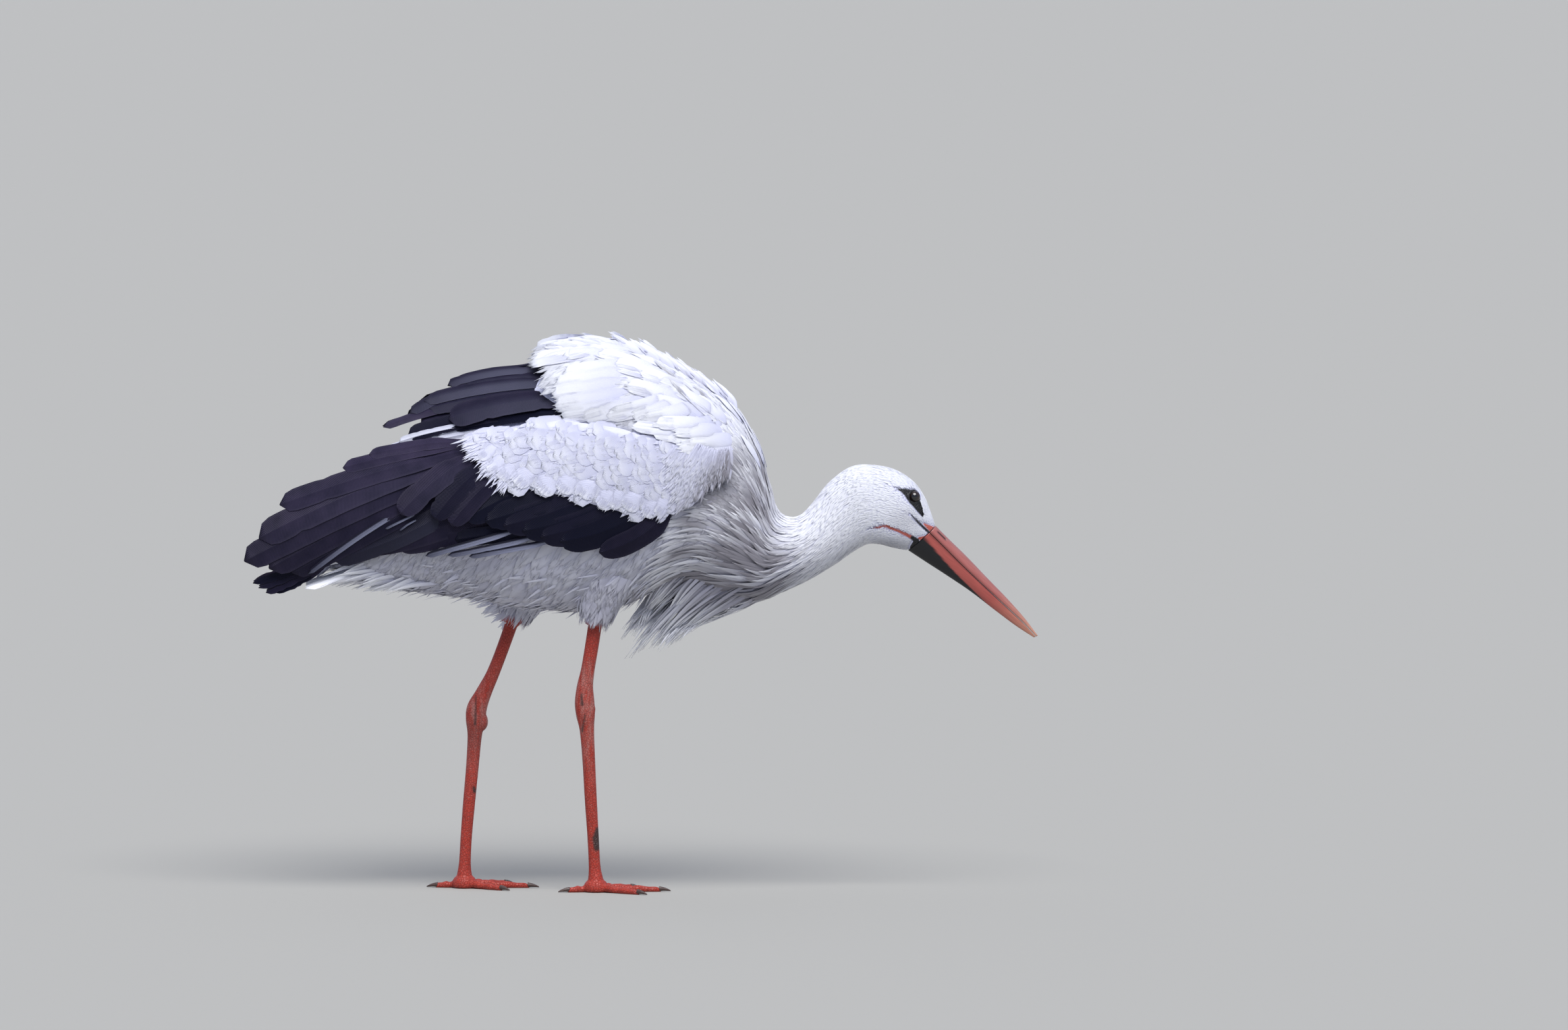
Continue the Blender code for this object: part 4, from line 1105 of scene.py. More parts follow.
def tubes_object(name, tubes):
    """Closed tubes of rings as one plain object, each turned right side out."""
    tubes, faces, start = [outward(rings) for rings in tubes], [], 0
    for rings in tubes:
        loops, sizes = ring_faces(*rings.shape[:2])
        faces += [face.tolist() for face in np.split(loops + start, np.cumsum(sizes)[:-1])]
        start += rings.shape[0] * rings.shape[1]
    mesh = bpy.data.meshes.new(name)
    mesh.from_pydata((np.concatenate([rings.reshape(-1, 3) for rings in tubes]) * MM).tolist(), [], faces)
    obj = bpy.data.objects.new(name, mesh)
    bpy.context.scene.collection.objects.link(obj)
    return obj


def points_of(mesh):
    """Points of a mesh in millimetres."""
    co = np.empty(len(mesh.vertices) * 3, np.float32)
    mesh.vertices.foreach_get("co", co)
    return co.reshape(-1, 3) / MM


def limb_rings(table, sign, rows, sides):
    """Ovals along the smoothed middle line of a thigh or leg: wide fore and aft, high sideways."""
    row = smooth(table, np.linspace(0, len(table) - 1, rows))
    middle = np.stack([row[:, 0], sign * row[:, 2], row[:, 1]], -1)
    along = unit(np.gradient(middle, axis=0))
    side = unit(np.cross(along, (0.0, 1.0, 0.0)))
    return ovals(middle, side[:, None], np.cross(along, side)[:, None], row[:, 3], row[:, 4], sides)


def toe_rings(root, ahead, length):
    """A tapered toe with a swelling at each knuckle: the radius waves three times along it."""
    share = np.linspace(0, 1, 40)
    radius = TOE_RADIUS[0] + (TOE_RADIUS[1] - TOE_RADIUS[0]) * share
    radius = radius * (1 + 0.14 * np.cos(share * 6 * math.pi) * np.sin(math.pi * np.clip(share * 1.1, 0, 1)))
    radius[-3:] *= (0.9, 0.7, 0.4)
    height = radius * 0.8 + 2.2 * (1 - share) ** 2
    middle = root + ahead * (share * length)[:, None] + UP * height[:, None]
    return ovals(middle, np.cross(UP, ahead), UP, radius, radius, 16)


def claw_rings(root, ahead, length):
    """Round sections along a line that bends to the floor; the radius falls as a root of the rest."""
    share = np.linspace(0, 1, 16)
    radius = TOE_RADIUS[1] * 0.78 * (1 - share) ** 0.7 + 0.35
    height = 3.2 - 2.3 * share**2
    middle = root + ahead * (length - 2.2 + share * (CLAW_LENGTH + 2.4))[:, None] + UP * height[:, None]
    rings = ovals(middle, np.cross(UP, ahead), UP, radius, radius, 14)
    rings[..., 2] = np.maximum(rings[..., 2], FLOOR_GAP)
    return outward(rings)


def web_rings(root, first, second, reach):
    """A thin web between two toes: a lens that thins towards its free edge."""
    share = np.linspace(0, 1, 8)
    across = (second - first) / 2
    out = reach * (0.35 + 0.65 * share)
    centre = root + unit(first + second) * out[:, None] + UP * (4.2 - 1.2 * share)[:, None]
    return ovals(centre, unit(across), UP, np.linalg.norm(across) * out, 2.4 - 1.3 * share, 12)


def toes(side, sign):
    """Name, middle of the foot, direction and length of each toe."""
    root = np.array((LEG[side][-1, 0], sign * LEG[side][-1, 2], 0.0))
    for toe, (heading, length) in TOES.items():
        turn = math.radians(sign * (heading + FOOT_TURN[side]))
        yield toe, root, np.array((math.cos(turn), math.sin(turn), 0.0)), length


def settled(obj):
    """Replaces an object's mesh by what its modifiers make of it."""
    bpy.context.view_layer.update()
    depsgraph = bpy.context.evaluated_depsgraph_get()
    mesh = bpy.data.meshes.new_from_object(obj.evaluated_get(depsgraph))
    obj.modifiers.clear()
    obj.data = mesh
    return obj


def unite(base, parts):
    """Exact union of base with each part."""
    for part in parts:
        step = base.modifiers.new(part.name, "BOOLEAN")
        step.operation, step.solver, step.object = "UNION", "EXACT", part
    settled(base)
    for part in parts:
        bpy.data.objects.remove(part)


def leg_skin(side, sign):
    """Shank, ankle, tarsus, pad, toes and webs as one skin: remeshed in small cubes and relaxed."""
    angle = turns(28)[None]
    _, root, *_ = next(toes(side, sign))
    pad = np.stack([root[0] + PAD[:, 0:1] * np.cos(angle), root[1] + PAD[:, 0:1] * np.sin(angle),
                    PAD[:, 1:2] + 0 * angle], -1)
    knee_x, knee_z, knee_y, radius = KNUCKLE[side]
    polar = np.linspace(0.15, math.pi - 0.15, 12)[:, None]
    knuckle = np.stack([
        knee_x + radius * np.sin(polar) * np.cos(angle),
        sign * knee_y + radius * np.sin(polar) * np.sin(angle),
        knee_z - 1.5 * radius * np.cos(polar) + 0 * angle], -1)
    ahead = {toe: direction for toe, _, direction, _ in toes(side, sign)}
    leg = tubes_object("leg_" + side, [
        limb_rings(LEG[side], sign, 90, 28), pad, knuckle,
        *[toe_rings(*place) for _, *place in toes(side, sign)],
        web_rings(root, ahead["middle"], ahead["outer"], 27.0),
        web_rings(root, ahead["inner"], ahead["middle"], 20.0)])
    remesh = leg.modifiers.new("remesh", "REMESH")
    remesh.mode, remesh.voxel_size = "VOXEL", 1.15 * MM
    relax = leg.modifiers.new("relax", "SMOOTH")
    relax.iterations, relax.factor = 3, 0.5
    co = points_of(settled(leg).data)
    co[:, 2] = np.maximum(co[:, 2], FLOOR_GAP)
    leg.data.vertices.foreach_set("co", (co * MM).astype(np.float32).ravel())
    return leg


def eye_centre(side):
    low, high = (np.array(corner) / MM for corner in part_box("eye_" + side))
    return (low + high) / 2, (high - low).max() / 2


def body_skin():
    """The coat's surface sunk by the coat's depth, with lids round the eyes and a hollow before them.

    Its rows lie close together on the face and wide apart on the trunk.
    """
    parts = (np.linspace(0, 8, 64), np.linspace(8, 14, 44), np.linspace(14, 17.4, 34),
            np.linspace(17.4, LAST, 104))
    rows = np.concatenate([parts[0]] + [part[1:] for part in parts[1:]])
    u, v = np.meshgrid(rows, np.linspace(-0.5, 0.5, 152, endpoint=False), indexing="ij")
    p, n, *_ = BODY_GROUND.at(u, v)
    p = p - n * (at(COAT_DEPTH, u) + mantle_lift(u, v) * 0.45)[..., None]
    for side, sign in SIDES:
        centre, radius = eye_centre(side)
        d = np.hypot(p[..., 0] - centre[0], p[..., 2] - centre[2])
        lid = np.exp(-(d - radius * 0.98) ** 2) - 3.4 * (1 - ease((d - 3.6) / 1.6))
        hollow = -1.1 * spot(p[..., 0], p[..., 2], (303, 405), 5, 8)
        p = p + n * ((lid + hollow) * (p[..., 1] * sign > 4))[..., None]
    return tubes_object("skin", [p])


# ---------------- operators

class STORK_OT_skin(bpy.types.Operator):
    """Make the one skin of trunk, neck, head, legs and feet"""
    bl_idname = "stork.skin"
    bl_label = "Skin"

    def execute(self, context):
        skin, parts = body_skin(), []
        for side, sign in SIDES:
            parts.append(tubes_object("thigh_" + side, [limb_rings(THIGH[side], sign, 20, 28)]))
            parts.append(leg_skin(side, sign))
        unite(skin, parts)
        p = points_of(skin.data)
        x, z = p[:, 0], p[:, 2]
        joints = np.array([table[4, 0:2] for table in LEG.values()])
        near = np.min([np.hypot(x - joint[0], z - joint[1] + 4) for joint in joints], axis=0)
        ankle = 0.85 * np.maximum(1 - ease((near - 4) / 22), 0.8 * np.exp(-((z - 178) / 46) ** 2))
        # Painted shade under the rear ankle: less grey, and darker through the same share as the dried mud.
        below = spot(x, z, (-178, 164), 16, 18)
        ankle = np.maximum(ankle, 0.9 * spot(x, z, (-56, 230), 14, 17)) * (1 - 0.6 * below)
        # Painted shade in the ankle creases, and dried mud, from the strokes.
        marks = 1 - ease((stroke_distance(p, LEG_CREASE_SHADE_AND_MUD) + 1.6) / 3)
        far_foot = (p[:, 1] > -22) & (z < 80)
        set_values(skin.data, {
            "leg": 1 - ease((z - 288) / 6), "ankle": ankle, "black": face_mark(p, BLACK_STROKES),
            "red": face_mark(p, RED_STROKES), "mud_and_shade": np.where(far_foot, 0, np.maximum(marks, 0.4 * below))})
        skin.data.shade_smooth()
        skin.name = "skin"
        flesh = ["trunk", "neck_foot", "neck", "head"]
        for side, _ in SIDES:
            flesh += [f"{part}_{side}" for part in ("thigh", "shank", "tarsus", "foot")]
            flesh += [f"toe_{toe}_{side}" for toe in TOES]
        adopt(skin, skin_material(), "red_skin", flesh)
        return {"FINISHED"}


class STORK_OT_eyes(bpy.types.Operator):
    """Make the two eyeballs"""
    bl_idname = "stork.eyes"
    bl_label = "Eyes"

    def execute(self, context):
        """A sphere in rings from one pole to the other, whose first pole looks out sideways."""
        material = eye_material()
        polar, turn = np.linspace(0.02, math.pi - 0.02, 36)[:, None], turns(40)[None]
        off_axis = np.sin(polar) + 2 * (polar > math.pi / 2) + 0 * turn
        for side, sign in SIDES:
            centre, radius = eye_centre(side)
            out = np.stack([np.sin(polar) * np.cos(turn), sign * np.cos(polar) + 0 * turn,
                    np.sin(polar) * np.sin(turn)], -1)
            rings = outward(centre + out * radius * 0.985)
            finish_piece("eyeball_" + side, rings.reshape(-1, 3), *ring_faces(36, 40), material, "eye",
                         ["eye_" + side], {"off_axis": off_axis})
        return {"FINISHED"}


class STORK_OT_bill(bpy.types.Operator):
    """Make the upper and the lower half of the bill"""
    bl_idname = "stork.bill"
    bl_label = "Bill"

    def execute(self, context):
        """Half ovals from one cutting edge over the ridge to the other, closed along the mouth line."""
        material = bill_material()
        rows, sides = 110, 41
        share = np.linspace(0, 1, rows)[:, None]
        row = smooth(BILL, share[:, 0] * (len(BILL) - 1))
        culmen, mouth, keel, width = row[:, 0:2], row[:, 2:4], row[:, 4:6], row[:, 6:7]
        angle = np.linspace(0, math.pi, sides)[None]
        for name, edge, power in (("upper", culmen, 0.8), ("lower", keel, 0.9)):
            high = np.sin(angle) ** power
            start = mouth + unit(edge - mouth) * 0.3
            xz = start[:, None] + (edge - start)[:, None] * high[..., None]
            y = width * np.cos(angle)
            if name == "upper":
                groove = np.exp(-((high - 0.62) / 0.1) ** 2) * ease((share - 0.01) / 0.05) * (1
                        - ease((share - 0.3) / 0.3))
                slit = np.exp(-((high - 0.72) / 0.09) ** 2) * ease((share - 0.03) / 0.03) * (1
                        - ease((share - 0.14) / 0.03))
                lip = np.exp(-(high / 0.12) ** 2)
                dent = 0.45 * groove + 1.6 * slit + 0.5 * lip
                # The ridge share is a painted highlight, pinkest along the top of the upper half.
                mark, ridge = 0.95 * slit + 0.5 * lip, 0.45 + 0.5 * high**3
            else:
                wedge = 0.26 + 0.74 * (share / WEDGE_END) ** 1.6
                lip = np.exp(-(high / 0.05) ** 2)
                dent, ridge = 0.25 * lip + 0.3 * ease((high - wedge) / 0.08), 0.05 + 0 * high
                mark = np.maximum(ease((high - wedge + 0.03) / 0.06) * (share < WEDGE_END), 0.5 * lip)
            y = y - np.sign(y) * np.minimum(dent, np.abs(y) * 0.8)
            points = np.stack([xz[..., 0], y, xz[..., 1]], -1)
            loops, sizes = ring_faces(rows, sides, 1, inside_out(points))
            rim = np.where((np.arange(sides) == 0) | (np.arange(sides) == sides - 1), np.arange(sides), -1)
            along, ridge, mark = np.broadcast_arrays(share + 0 * high, ridge + 0 * share, mark)
            finish_piece("bill_horn_" + name, points.reshape(-1, 3), loops, sizes, material, "red_horn",
                         ["bill_" + name], {"along": along, "ridge": ridge, "mark": mark},
                         line=np.tile(rim, rows))
        return {"FINISHED"}


class STORK_OT_claws(bpy.types.Operator):
    """Make the eight claws"""
    bl_idname = "stork.claws"
    bl_label = "Claws"

    def execute(self, context):
        material = claw_material()
        for side, sign in SIDES:
            for toe, *place in toes(side, sign):
                rings = claw_rings(*place)
                finish_piece(f"claw_horn_{toe}_{side}", rings.reshape(-1, 3), *ring_faces(*rings.shape[:2]),
                        material,
                             "claw_horn", [f"claw_{toe}_{side}"], {})
        return {"FINISHED"}


def keep_feathered(roots):
    """Drops roots that stand in the bare skin of the face."""
    p = coat(*roots.T)
    bare = (stroke_distance(p, BLACK_STROKES) < 0.6) | (stroke_distance(p, RED_STROKES) < 0.6)
    return roots[~bare]


class STORK_OT_head_coat(bpy.types.Operator):
    """Make the short feathers of head and nape"""
    bl_idname = "stork.head_coat"
    bl_label = "Head feathers"

    def execute(self, context):
        rng = np.random.default_rng(11)
        size = np.array([(13.6, 1.0), (16, 0.75), (18, 0.5), (19.5, 0.36), (21, 0.28)])
        roots = keep_feathered(quincunx(BODY_GROUND, (LAST - 0.02, 15.2), (-0.5, 0.5), (4.6, 3.0), size,
                rng))
        u, v = roots.T
        scale, p = at(size, u), coat(u, v)
        gap, red_gap = stroke_distance(p, BLACK_STROKES), stroke_distance(p, RED_STROKES)
        short = np.minimum(0.45 + 0.55 * ease(gap / 8), 0.12 + 0.88 * ease(red_gap / 7))
        turn = 0.08 * wander(u * 2, v * 22, 5) + 0.2 * np.sign(v) * ease(np.abs(v) / 0.08)
        # Creamy tint round the face, and painted shade under the chin.
        face_tint_and_chin_shade = 0.3 * spot(p[:, 0], p[:, 2], (288, 398), 14, 14) + 0.45 * spot(p[:, 0], p[:, 2], (276, 370),
                20, 9)
        batch = grow(BODY_GROUND, roots, ((15.2, LAST), (-0.5, 0.5)), rng, 5, 18 * scale * short + 1.2,
                2.3 * scale,
                     spike_width(5, 0.6, 0.45), turn, 0.05, at(COAT_DEPTH, u) + 0.1, 0.05 * scale, face_tint_and_chin_shade,
                     0.02,
                     0.12, LEAF, 0.6)
        feather_piece("head_feathers", [batch], white_plumage("white_head_feather_vane", 0.1))
        return {"FINISHED"}


class STORK_OT_neck_coat(bpy.types.Operator):
    """Make the lance-shaped feathers of the neck and breast"""
    bl_idname = "stork.neck_coat"
    bl_label = "Neck feathers"

    def execute(self, context):
        rng = np.random.default_rng(12)
        size = np.array([(7.4, 2.5), (9, 2.1), (10.5, 1.7), (12, 1.3), (14.4, 0.95), (16.2, 0.75)])
        roots = keep_feathered(quincunx(BODY_GROUND, (16.2, 7.4), (-0.5, 0.5), (4.6, 2.4), size, rng, 0.5))
        u, v = roots.T
        scale = at(size, u)
        low = ease((np.abs(v) - 0.22) / 0.16) * (1 - ease((u - 10.5) / 3))
        turn = np.sign(v) * ease(np.abs(v) / 0.06) * (0.12 + 0.25 * low) + 0.08 * wander(u * 1.6, v * 16, 7)
        streak = 0.95 + 0.45 * wander(u * 2, v * 60, 8) + rng.uniform(-0.4, 0.25, len(u))

        def mark(path):
            # Painted shade on the underside of the neck, fading out towards the head; the stain share adds
            # stain and painted shade.
            lower = 0.4 * low[:, None] * (1 - ease((path[..., 0] - 130) / 60))
            return np.clip(0.03 + np.maximum(stain_and_shade(path), lower) * streak[:, None], 0, 0.95)

        batch = grow(BODY_GROUND, roots, ((7.4, 16.2), (-0.5, 0.5)), rng, 7, (26 + 6 * low) * scale,
                1.9 * scale,
                     spike_width(7, 0.5, 0.4), turn, 0.05, at(COAT_DEPTH, u) + 0.2,
                     (0.1 + 0.8 * low) * scale, mark,
                     thick=0.35, section=LEAF, bend=0.5)
        feather_piece("neck_feathers", [batch], white_plumage("white_neck_feather_vane", 0.15, 0.15))
        return {"FINISHED"}


class STORK_OT_breast_plume(bpy.types.Operator):
    """Make the long loose plumes that hang from the foot of the neck"""
    bl_idname = "stork.breast_plume"
    bl_label = "Breast plumes"

    def execute(self, context):
        """Strands leave the breast along its surface, gather into locks and hang back to their tips."""
        rng = np.random.default_rng(13)
        locks, strands, rows = 50, 20, 12
        count = locks * strands
        lock_u = 7.0 + 4.4 * rng.random(locks) ** 1.25
        lock_v = rng.normal(0, 0.075, locks)
        share = (lock_u - 7.0) / 4.4
        tip_x, tip_z = (np.interp(share, (0, 0.2, 0.45, 0.7, 1), ends) for ends in (
            (-22, -10, 16, 52, 92), (272, 247, 253, 285, 305)))
        tip = [tip_x + rng.normal(0, 4, locks), lock_v * 190 + rng.normal(0, 3, locks),
               tip_z + rng.normal(0, 3, locks)]
        reach = np.clip(1 - np.abs(rng.normal(0, 0.2, locks)), 0.4, 1.0)
        reach[np.argsort(lock_u)[::7]] = 1.0

        def spread(values, size):
            return np.repeat(values, strands, axis=0) + rng.normal(0, size, (count,) + values.shape[1:])

        u = np.clip(spread(lock_u, 0.25), 7.0, 11.6)
        side = spread(lock_v, 0.018)
        v = np.where(side < 0, side + 0.5, side - 0.5)
        p, n, ahead, *_ = BODY_GROUND.at(u, v)
        target = spread(np.stack(tip, -1), 2.0)
        chord = (target - p) * (np.repeat(reach, strands) * rng.uniform(0.82, 1.0, count))[:, None]
        s = np.linspace(0, 1, rows)[None, :, None]
        start = p[:, None] - n[:, None] * (at(COAT_DEPTH, u) + 0.3)[:, None, None]
        away = (-ahead * 0.3 * np.linalg.norm(chord, axis=1)[:, None])[:, None]
        path = start + chord[:, None] * s**1.2 + away * (s * (1 - s)) + n[:,
                None] * 4.5 * np.sin(math.pi * s)
        wave = np.sin(s * 7 + rng.uniform(0, 6, count)[:, None, None]) * s * 1.2
        path = path + wave * unit(rng.normal(0, 1, (count, 1, 3)))
        normal = unit(n[:, None] + np.array((0.2, 0, -0.5)) * s + rng.normal(0, 0.25, (count, 1, 3)))
        half = rng.uniform(1.3, 3.0, count)[:, None] * spike_width(rows, 0.6, 0.3)[None]
        points = vanes(path, normal, half, 0.3, 0.12, LEAF)
        root_uv = np.clip(np.stack([0.02 + 0.96 * (u - 7) / 5, 0.5 + side * 1.6], -1), 0.01, 0.99)
        fade = 1 - 0.95 * ease((s - 0.3) / 0.5)
        stain = spread(rng.uniform(0.25, 0.85, locks), 0.08)
        mark = np.clip(stain, 0.05, 1)[:, None, None] * fade + 0 * LEAF[:, 0]
        batch = pack_feathers(points, LEAF, root_uv, rng.uniform(0, 1, count), mark, np.full(count, 90.0))
        feather_piece("breast_plumes", [batch], white_plumage("cream_plume_barbs", 0.2), ["neck_plume"],
                "cream_feather")
        return {"FINISHED"}


class STORK_OT_mantle_coat(bpy.types.Operator):
    """Make the ruffled white feathers of mantle and shoulders"""
    bl_idname = "stork.mantle_coat"
    bl_label = "Mantle feathers"

    def execute(self, context):
        rng = np.random.default_rng(14)
        window = ((3.0, 8.9), (-0.3, 0.3))
        size = np.array([(3.3, 1.3), (5, 1.2), (7, 0.85), (8.9, 0.6)])
        roots = quincunx(BODY_GROUND, (8.8, 4.2), (-0.235, 0.235), (9.5, 9.0), size, rng, 0.45)
        place = coat(*roots.T)
        # Feathers over the crown hang out behind the mantle; those of its sides end in an upright edge.
        reach = place[:, 0] - np.interp(place[:, 2], (500, 553, 566), (-82, -82, -108))
        length = np.minimum(60 * at(size, roots[:, 0]), reach)
        roots, length = roots[length > 18], length[length > 18]
        a, b = roots.T
        turn = 0.24 * np.sign(b) * ease(np.abs(b) / 0.1) + 0.2 * wander(a * 3, b * 30, 6)
        width = 6.6 * at(size, a) * rng.uniform(0.7, 1.25, len(a))
        stain = 0.35 * np.exp(-((coat(a, b)[:, 0] - 45) / 40) ** 2) * (rng.random(len(a)) < 0.12)
        # Their marks hold stain, and painted shade near the armpit.
        plates = grow(BODY_GROUND, roots, window, rng, 7, length, width, spike_width(7, 0.6, 0.6), turn, 0.1,
                2.2,
                      0.15, lambda path: np.maximum(stain[:, None], stain_and_shade(path)), 0.02, 0.12, bend=0.7)
        barbs = fringe(BODY_GROUND, roots, window, rng, 3, length * 1.05, width, turn, 2.2, 0.15, stain_and_shade,
                0.6, 0.08)
        feather_piece("mantle_feathers", [plates, barbs, self.ridge(rng, window)],
                      white_plumage("white_mantle_feather_vane", 0.3, 0.25), ["mantle"])
        self.lobes(rng, context.scene.stork_plumage.ruffle / MM)
        return {"FINISHED"}

    def ridge(self, rng, window):
        """Feathers along the middle of the back, which close the parting between the two sides."""
        count = 110
        a = rng.uniform(4.7, 8.6, count)
        b = rng.normal(0, 0.022, count)
        length = np.minimum(46.0, coat(a, b)[:, 0] + 100)
        return grow(BODY_GROUND, np.stack([a, b], -1), window, rng, 8, length, rng.uniform(4, 7, count),
                    spike_width(8, 0.6, 0.6), rng.normal(0, 0.12, count), 0.05,
                    rng.uniform(-1.5, 2.0, count), 1.5,
                    bend=0.8)

    def lobes(self, rng, ruffle):
        """The broad outer feathers, and the pointed ones that stand up from the ridge."""
        batches = []
        for side, sign in SIDES:
            ground, front = side_ground(flank_surface, sign, 3.0), side_ground(shoulder_surface, sign, 3.0)
            left, jitter = 0.5 * (side == "left"), 0.4 + (side == "left")
            parts = (
                (soft_vanes(ground, LOBES, rng, sign, 1.6, 0.03 * ruffle, jitter, tilt=0.25), 0.0, 0.48),
                (soft_vanes(ground, CREST, rng, sign, 5.0, 0.1 * ruffle, jitter, 0.45, 3, 4.0, 1.2, 1.6),
                 0.5, 0.73),
                (soft_vanes(front, FRONT_LOBES, rng, sign, 4.0, 0.0, jitter), 0.75, 0.98),
            )
            for vanes_made, low, high in parts:
                batches += placed(vanes_made, (left, low), (left + 0.49, high))
        feather_piece("mantle_lobes", batches, white_plumage("white_shoulder_feather_vane", 0.3, 0.25))


class STORK_OT_trunk_coat(bpy.types.Operator):
    """Make the soft feathers of rump, flanks, belly and undertail"""
    bl_idname = "stork.trunk_coat"
    bl_label = "Trunk feathers"

    def execute(self, context):
        rng = np.random.default_rng(15)
        size = np.array([(0, 0.75), (2, 1.0), (5, 1.1), (7.6, 1.05)])
        for side, sign in SIDES:
            window = ((0.0, 8.4), (0.0, 0.5 * sign))
            roots = quincunx(BODY_GROUND, (8.2, 0.05), (0.01 * sign, 0.5 * sign), (10.5, 8.0), size, rng,
                    0.5)
            x, _, z = coat(*roots.T).T
            under_roof = (z > 480) & (x > -186) & (x < 30)
            under_wing = (z > 400) & (x > -150) & (x < 20)
            roots = roots[~(under_roof | under_wing)]
            a, b = roots.T
            scale = at(size, a)
            low = ease((np.abs(b) - 0.3) / 0.14)
            flank = ease((np.abs(b) - 0.18) / 0.1) * (1 - 0.5 * ease((np.abs(b) - 0.4) / 0.1)) * ease(a / 3)
            turn = sign * (0.12 + 0.75 * flank) + 0.24 * wander(a * 3, b * 30, 9)
            tuft = np.clip(0.5 + wander(a * 6, b * 60, 3), 0, 1.5)
            length, width, lift = (46 + 4 * low) * scale, (7.5 - 2.5 * low) * scale, 0.2 + 1.8 * low * tuft
            # Their marks are mostly painted shade, and the material paints more shade by its shaded amount.
            plates = grow(BODY_GROUND, roots, window, rng, 6, length, width, spike_width(6, 0.6, 0.5), turn,
                    0.1, 4.6,
                          lift, body_shade_and_stain, 0.04, 0.2, bend=0.6)
            barbs = fringe(BODY_GROUND, roots, window, rng, 3, length * 1.08, width, turn, 4.6, lift,
                    body_shade_and_stain, 0.5)
            feather_piece("trunk_feathers_" + side, [plates, barbs, self.belly_tufts(rng, sign, window)],
                          white_plumage("white_body_feather_vane_" + side, 0.2, 0.6))
        return {"FINISHED"}

    def belly_tufts(self, rng, sign, window):
        """Loose feathers that hang a little off the belly, where the wind has parted the coat."""
        count = 200
        a = rng.uniform(0.3, 7.2, count)
        b = sign * rng.uniform(0.36, 0.498, count)
        # Their mark of 0.2 is painted shade on the belly.
        return grow(BODY_GROUND, np.stack([a, b], -1), window, rng, 7, 40.0, rng.uniform(1.8, 4.4, count),
                    spike_width(7, 0.7, 0.4), sign * 0.35, 0.3, 4.0, rng.uniform(1.5, 8.0, count), 0.2,
                    section=LEAF, bend=1.6)


class STORK_OT_thigh_coat(bpy.types.Operator):
    """Make the feathers of the thighs, down to their loose tufts over the bare legs"""
    bl_idname = "stork.thigh_coat"
    bl_label = "Thigh feathers"

    def execute(self, context):
        rng = np.random.default_rng(16)
        batches = []
        for side, sign in SIDES:
            ground = Ground(thigh_surface(side, sign), (0.02, 0.004), 1.0, 1.0)
            p, n, *_ = ground.at(np.array([1.0]), np.array([0.0]))
            core = ground.surface(np.array([1.0]), np.array([0.5]))
            ground.out = 1.0 if ((p - core) * n).sum() > 0 else -1.0
            window = ((0, 3), (0, 1))
            roots = quincunx(ground, (0.1, 2.1), (0.0, 1.0), (7.0, 7.5), np.array([(0, 1), (3, 1)]), rng,
                    0.4)
            a, b = roots.T
            tip = ease((a - 0.8) / 1.2)
            turn = 0.2 * wander(a * 2, b * 12, 5)
            length, width, lift = 42 - 14 * tip, 5.5 - 2.4 * tip, 0.3 + 2.8 * tip
            # Their marks are mostly painted shade, and the material paints more shade by its shaded amount.
            batches.append(grow(ground, roots, window, rng, 7, length, width, spike_width(7, 0.6, 0.5), turn,
                    0.12, 4.6,
                                lift, body_shade_and_stain, 0.03, 0.2, bend=0.7))
            batches.append(fringe(ground, roots, window, rng, 3, length * 1.05, width, turn, 4.6, lift,
                    body_shade_and_stain, 0.5, 0.2))
        batches.append(self.rear_tufts(rng))
        feather_piece("thigh_feathers", batches, white_plumage("white_thigh_feather_vane", 0.2, 0.6))
        return {"FINISHED"}

    def rear_tufts(self, rng):
        """Curled tufts that the wind has blown back from the far thigh."""
        x, z, tip_x, tip_z, half = np.repeat(REAR_TUFTS, 7, axis=0).T
        count = len(x)
        y = rng.uniform(30, 56, count)
        rise = -y * math.tan(SIGHT)
        root = np.stack([x, y, z + rise], -1) + rng.normal(0, 2.5, (count, 3))
        tip = np.stack([tip_x, y * 1.05, tip_z + rise], -1) + rng.normal(0, 2.5, (count, 3))
        normal = np.array((0.0, -1.0, -0.6)) + rng.normal(0, 0.4, (count, 3))
        root_uv = np.stack([rng.uniform(0.02, 0.98, count), np.full(count, 0.99)], -1)
        return straight_vanes(root, tip, half * rng.uniform(0.4, 1, count), rng, normal,
                              rng.uniform(-2, 5, (count, 1, 1)), 8, root_uv, np.full(count, 0.08), LEAF, 0.3,
                              0.7)


